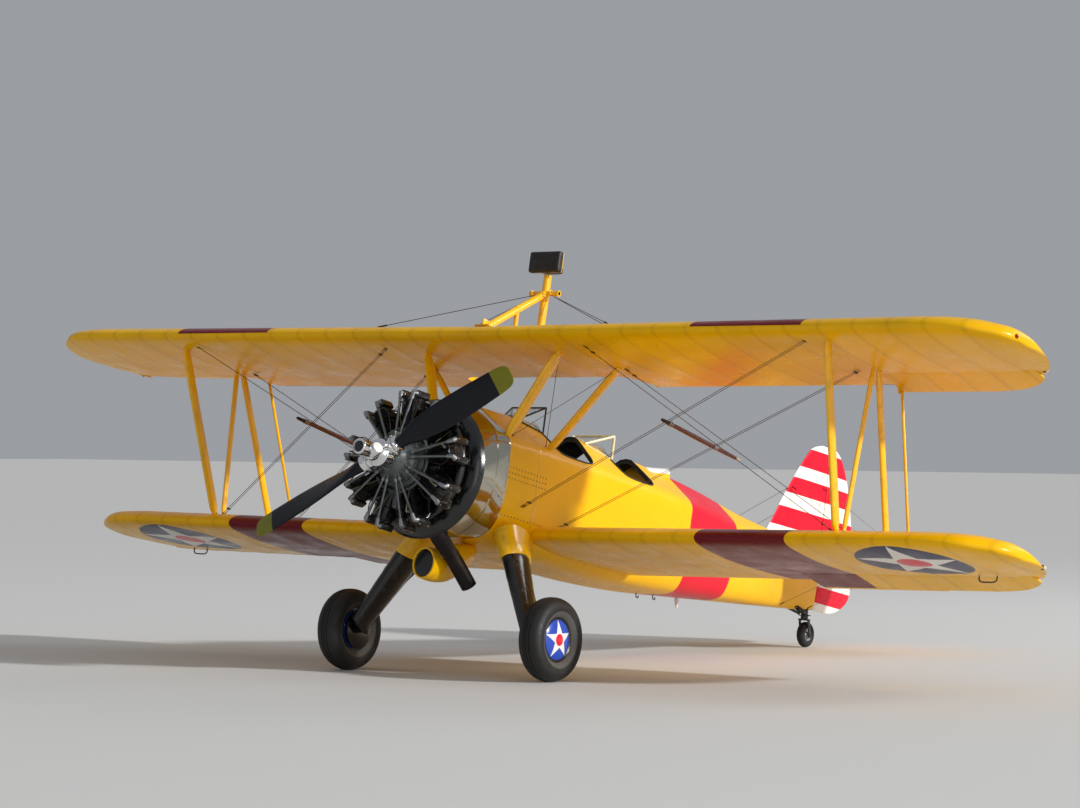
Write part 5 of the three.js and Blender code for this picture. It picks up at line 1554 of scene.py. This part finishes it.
# %% Tail wheel
TAIL_Y, TAIL_Z = 5448, 896
at = level(0, TAIL_Y, TAIL_Z)
tail_tyre = wheel_ring("tail_tyre", closed_loop([
    (60, -24), (72, -34), (88, -37), (104, -33), (114, -24), (118.5, -12), (120, 0),
]), at, 64)
finish(tail_tyre, tyre_rubber, "tail_wheel", 30, "tail_wheel")
tail_hub = wheel_ring("tail_hub", [
    (9.5, -34), (24, -34), (28, -28), (40, -22), (60.5, -26), (60.5, 26), (40, 22), (28, 28), (24, 34),
    (9.5, 34), (9.5, -34),
], at, 48)
finish(tail_hub, cast_aluminium, None, 35, "tail_wheel")

top = level(0, 5395, 1085)
fork = [
    turned("swivel_cup", [(17, -1), (34, -1), (36, -6), (36, -44), (30, -58), (0, -62), (0, -40), (17, -40),
                          (17, -1)], (0, 0, 1), top, 40, False),
    block("fork_crown", top + level(0, 4, -56), (110, 60, 14), 5),
    rod("tail_axle", (-56, TAIL_Y, TAIL_Z), (56, TAIL_Y, TAIL_Z), 9, 24),
    block("steering_arm", top + level(0, 0, -16), (130, 22, 8), 3),
]
for sign in (-1, 1):
    low, high = level(sign * 48, TAIL_Y, 882), level(sign * 48, 5399, 1031)
    fork.append(skin("fork_arm", [slender_ring(low.lerp(high, s), (high - low).normalized(), 44, 14)
                                  for s in (-0.12, -0.06, 0.1, 0.9, 1)]))
    fork.append(turned("axle_nut", [(0, 10), (10, 10), (12, 6), (12, 0)], (sign, 0, 0),
                       level(sign * 55, TAIL_Y, TAIL_Z), 6))
finish(joined("tail_fork_dressed", fork), black_enamel, "tail_wheel_fork", 40, "tail_fork")

start, end = level(0, 5060, 1125), level(0, 5383, 1145)
bracket = [skin("tail_arm", [slender_ring(start.lerp(end, s), Vector((0, 0.998, 0.06)), 60, 44, 20)
                             for s in (0, 0.5, 1)])]
bracket.append(rod("swivel_post", (0, 5395, 1185), (0, 5395, 1086), 30, 32))
bracket.append(rod("swivel_spindle", (0, 5395, 1090), (0, 5395, 1051), 16, 24))
for sign in (-1, 1):
    bracket.append(rod("shock_strut", (sign * 60, 5120, 1110), (sign * 34, 5350, 1080), 13, 16))
coil = []
for k in range(120):
    turn = k * 2 * math.pi / 12
    centre = level(60, 5120, 1110).lerp(level(34, 5350, 1080), 0.15 + 0.6 * k / 119)
    coil.append(centre + level(20 * math.cos(turn), 0, 20 * math.sin(turn)))
bracket.append(pipe("shock_spring", coil, 4, 8))
finish(joined("tail_bracket_dressed", bracket), black_enamel, "tail_wheel_bracket", 40)
print("pieces so far:", len(made))

# %% [markdown]
# The standing rig on the upper wing is yellow steel tube: a raked brace in front, a post at the rear with a
# crossbar, and a padded backrest on top. Its base plates are bolted through the wing. Four thin cables
# stay it to the front and rear spars.

# %% Rig
RIG_FEET = (-60, 345, 700)


def upper_top(y, out=0, x=0):
    return on_skin(UPPER, x, y + 274, 1, out)


post_foot, post_head = upper_top(700, -6), level(0, 716, 3215)
way = (post_head - post_foot).normalized()
rig = [
    skin("rig_post", [slender_ring(post_foot.lerp(post_head, s), way, 84, 60) for s in (0, 0.5, 0.97)]),
    pipe("rig_brace", [upper_top(-60, -4), level(0, 700, 3030)], 32, 24),
    pipe("rig_prop", [upper_top(345, -4), level(0, 345, 2840)], 20, 20),
    block("rig_crossbar", level(0, 700, 3030), (300, 40, 40), 6),
]
for x in (-1, 1):
    rig.append(rod("bar_grip", (x * 140, 700, 3030), (x * 150, 700, 3030), 26, 20))
    rig.append(bent("harness_loop", [(x * 96, 672, 3040), (x * 96, 640, 3052), (x * 96, 640, 3010),
                                     (x * 96, 672, 3020)], 15, 5, 8))
bolts = []
tilt = Matrix.Rotation(-math.radians(UPPER["incidence"]), 3, "X")
for y in RIG_FEET:
    rig.append(block("base_plate", upper_top(y, 6), (150, 110, 14), 4, tilt))
    rig.append(block("base_gusset", upper_top(y, 34), (14, 96, 60), 4, tilt))
    for dx, dy in ((-58, -38), (-58, 38), (58, -38), (58, 38)):
        at = upper_top(y + dy, 12)
        at.x = dx * MM
        bolts.append(turned("plate_bolt", [(0, 9), (8, 9), (10, 6), (10, 0)], (0, 0, 1), at, 6))
finish(joined("rig_frame_dressed", rig), yellow_enamel, "rig_frame", 40)
finish(joined("rig_bolts", bolts), bright_steel, None, 30)

rest = pad("rig_backrest", level(0, 655, 3295), (318, 58, 180), 12)
finish(rest, black_leather, "rig_pad", 60)
perch = pad("rig_perch", level(0, 720, 3246), (192, 142, 48), 8)
finish(perch, black_leather, None, 60)
plate = block("backrest_plate", level(0, 695, 3295), (300, 8, 170), 3)
finish(plate, yellow_enamel, None, 30)

cables = []
for sign in (-1, 1):
    for y in (-40, 640):
        low, start = upper_top(y, -4, 1250), level(sign * 40, 700, 3030)
        low.x *= sign
        cables.append(pipe("rig_cable", [start, low], 3, 8))
        along = (low - start).normalized()
        cables.append(pipe("turnbuckle", [low - along * d for d in (0.16, 0.15, 0.08, 0.07)],
                           [3, 8, 8, 3], 8))
finish(joined("rig_cables", cables), wire_steel, None, 50)

# %% [markdown]
# Only the aileron links keep the shape of their solids. Their rods are streamlined already. Each aileron
# has a horn plate for its link, drawn on the level wing and then turned to rest with the aileron. The lower
# left aileron also has a thin fixed tab.

# %% Aileron links, horns and tab
for side in SIDES:
    carried_over(f"aileron_link_{side}", yellow_enamel, f"aileron_link_{side}")

PIN_END = 3242
# Place along the span, which way it points, distance behind the hinge and reach
HORNS = {"upper": (3308, -1, 290, 58), "lower": (3205, 1, 240, 34)}
for name, (plate_x, up, aft, reach) in HORNS.items():
    corners = [(-60, -12), (50, -12), (18, up * (reach + 14)), (0, up * (reach + 19)),
               (-18, up * (reach + 14))]
    parts = [skin("horn", [[on_wing(WINGS[name], x, HINGE_AFT + aft + a, HINGE_UP + u) for a, u in corners]
                           for x in (plate_x - 5, plate_x + 5)])]
    if up > 0:
        parts.append(pipe("horn_pin", [on_wing(WINGS[name], x, HINGE_AFT + aft, HINGE_UP + reach)
                                       for x in (plate_x, PIN_END)], 7, 12))
    finish_pair(joined("horn", parts), name + "_aileron_horn_{}", yellow_enamel, None, 40,
                name + "_aileron_{}", HINGE_TURNS[name])
tab = skin("tab", [[on_wing(LOWER, x, a, u) for a, u in ((1512, 2), (1540, 1.2), (1540, -1.2), (1512, -2))]
                   for x in (2362, 3520)])
tab.data.transform(hinge_turn("lower", 1))
finish(tab, yellow_enamel, None, 30, "lower_aileron_left")

# %% [markdown]
# Lamps sit on the upper tips, red on the left and green on the right, with a white one at the rear of each
# tip. Under the lower tips a wire bow keeps the cloth off the ground. On the lower wing roots, black
# non-slip strips show where to step.

# %% Lamps, bows and walkways
for side, sign in SIDES.items():
    for wing, inset, aft, (along, back), glass in (
        (UPPER, 48, 400, (0.75, -0.65), red_lens if sign > 0 else green_lens),
        (UPPER, 215, 1215, (0.6, 0.8), clear_lens), (LOWER, 62, 930, (0.8, 0.6), clear_lens),
    ):
        at = on_wing(wing, wing["tip"] - inset, aft, 8)
        at.x *= sign
        lamp = [turned("lamp_body", [(0, -40), (10, -36), (20, -14), (22, 4), (20, 8), (0, 8)],
                       (along * sign, back, 0), at, 24),
                turned("lamp_glass", [(19, 7), (19, 14), (15, 24), (8, 30), (0, 32)],
                       (along * sign, back, 0), at, 24)]
        painted(black_enamel, lamp[0])
        painted(glass, lamp[1])
        finish(joined(f"tip_lamp_{side}", lamp), None, None, 50)
bow = [(4030, -4), (4032, 28), (4046, 42), (4070, 46), (4150, 46), (4174, 42), (4188, 28), (4190, -4)]
bow = pipe("bow", [on_skin(LOWER, x, 1070, -1, drop) for x, drop in bow], 6, 10)
finish_pair(bow, "tip_bow_{}", black_enamel, None, 50)
strip = skin("strip", [[on_skin(LOWER, x, 340 + k * 70, 1, out) for x, out in (
    (480, 1), (480, 2.4), (760, 2.4), (760, 1))] for k in range(12)])
finish_pair(strip, "walkway_{}", tyre_rubber, None, 30)

# %% [markdown]
# Round the front of the fuselage are metal panels. Three rows of quarter-turn fasteners hold the upper
# one, a thin band covers each seam, and a filler cap stands on the centre section's tank. Two hooks
# and a drain hang under the belly.

# %% Fasteners, seams and belly fittings
studs, edges, seams = [], [], []
for sign in (-1, 1):
    for z, count in ((1305, 13), (1350, 13), (1395, 13), (1000, 16)):
        for y in range(-24, -24 + 42 * count, 42):
            studs.append(turned("fastener", [(0, 2.5), (5, 2), (6.5, 0), (6.5, -4)], (sign, 0, 0),
                                level(sign * side_width(y, z), y, z), 10))
    for z in (1395, 1305, 1000):
        line = [level(sign * (side_width(y, z) + 0.5), y, z) for y in range(-40, 361, 40)]
        edges.append(pipe("panel_edge", line, 2.2, 6))
for y in (-42, 372):
    rings = []
    for station, half, wide, crown, power, keel, *rest in (former_at(y - 11), former_at(y + 11)):
        rings.append(former_ring([station, half + 1.6, wide, crown + 1.6, power, keel - 1.6, *rest]))
    seams.append(skin("seam", rings, False))
finish(joined("side_fasteners", studs), wire_steel, None, 40)
finish(joined("panel_seams", seams), yellow_enamel, None, 40)
finish(joined("panel_edges", edges), yellow_enamel, None, 40)

cap_at = on_skin(UPPER, 240, 520, 1)
cap = [turned("filler_cap", [(46, -6), (46, 6), (34, 8), (34, 20), (30, 24), (0, 25)],
              (0, 0.08, 1), cap_at, 32)]
cap.append(block("cap_handle", cap_at + level(0, 2, 30), (50, 8, 10), 3))
finish(joined("fuel_filler", cap), cast_aluminium, None, 40)

belly = []
for y in (2590, 2850):
    keel = former_at(y)[5]
    belly.append(bent("belly_hook", [(0, y, keel + 12), (0, y, keel - 34), (0, y + 34, keel - 40),
                                     (0, y + 38, keel - 16)], 20, 5, 8))
finish(joined("belly_hooks", belly), black_enamel, None, 50)
keel = former_at(3230)[5]
drain = [level(0, y, keel + z) for y, z in ((3230, 10), (3230, -20), (3238, -70), (3246, -92))]
finish(pipe("belly_drain", drain, [20, 20, 14, 8], 16), white_enamel, None, 50)

steps = []
for y, z in ((1290, 1080), (2190, 1130)):
    wide = side_width(y, z)
    steps.append(bent("step", [(wide - 10, y, z), (wide + 70, y, z - 6), (wide + 70, y + 110, z - 6),
                               (wide - 10, y + 110, z)], 30, 9, 10))
finish(joined("boarding_steps", steps), black_enamel, None, 50)
print("pieces made:", len(made))

# %% [markdown]
# The set is plain: a pale floor that runs to the horizon, a pale sky, one soft sun where the real one
# stood, and two large weak lights that open the shadows under the wings.

# %% Floor and light
deselect()
bpy.ops.mesh.primitive_plane_add(size=400)
floor = bpy.context.object
floor.name = floor.data.name = "studio_floor"
painted(Paint("pale_studio_floor", Base_Color=chip("d9d8d4"), Roughness=0.8), floor)

world = bpy.data.worlds.new("pale_sky")
world.use_nodes = True
sky = world.node_tree.nodes["Background"]
sky.inputs["Color"].default_value = chip("e4e8ee")
sky.inputs["Strength"].default_value = 0.42
bpy.context.scene.world = world


def light(name, kind, energy, way, **settings):
    """A light that shines in a direction."""
    lamp = bpy.data.objects.new(name, bpy.data.lights.new(name, kind))
    lamp.data.energy = energy
    for setting, value in settings.items():
        setattr(lamp.data, setting, value)
    lamp.rotation_euler = Vector(way).to_track_quat("-Z", "Y").to_euler()
    bpy.context.scene.collection.objects.link(lamp)
    return lamp


light("sun", "SUN", 3.0, (-29, -4.7, -11), angle=math.radians(3.5))
light("fill", "AREA", 450, (-18, 16, -4.5), shape="SQUARE", size=12).location = (18, -16, 6)
light("back", "AREA", 1200, (-12, -16, -10.5), shape="SQUARE", size=9).location = (12, 16, 12)

# Colours are judged as they would be in a plain photograph, without a film curve
bpy.context.scene.view_settings.view_transform = "Standard"
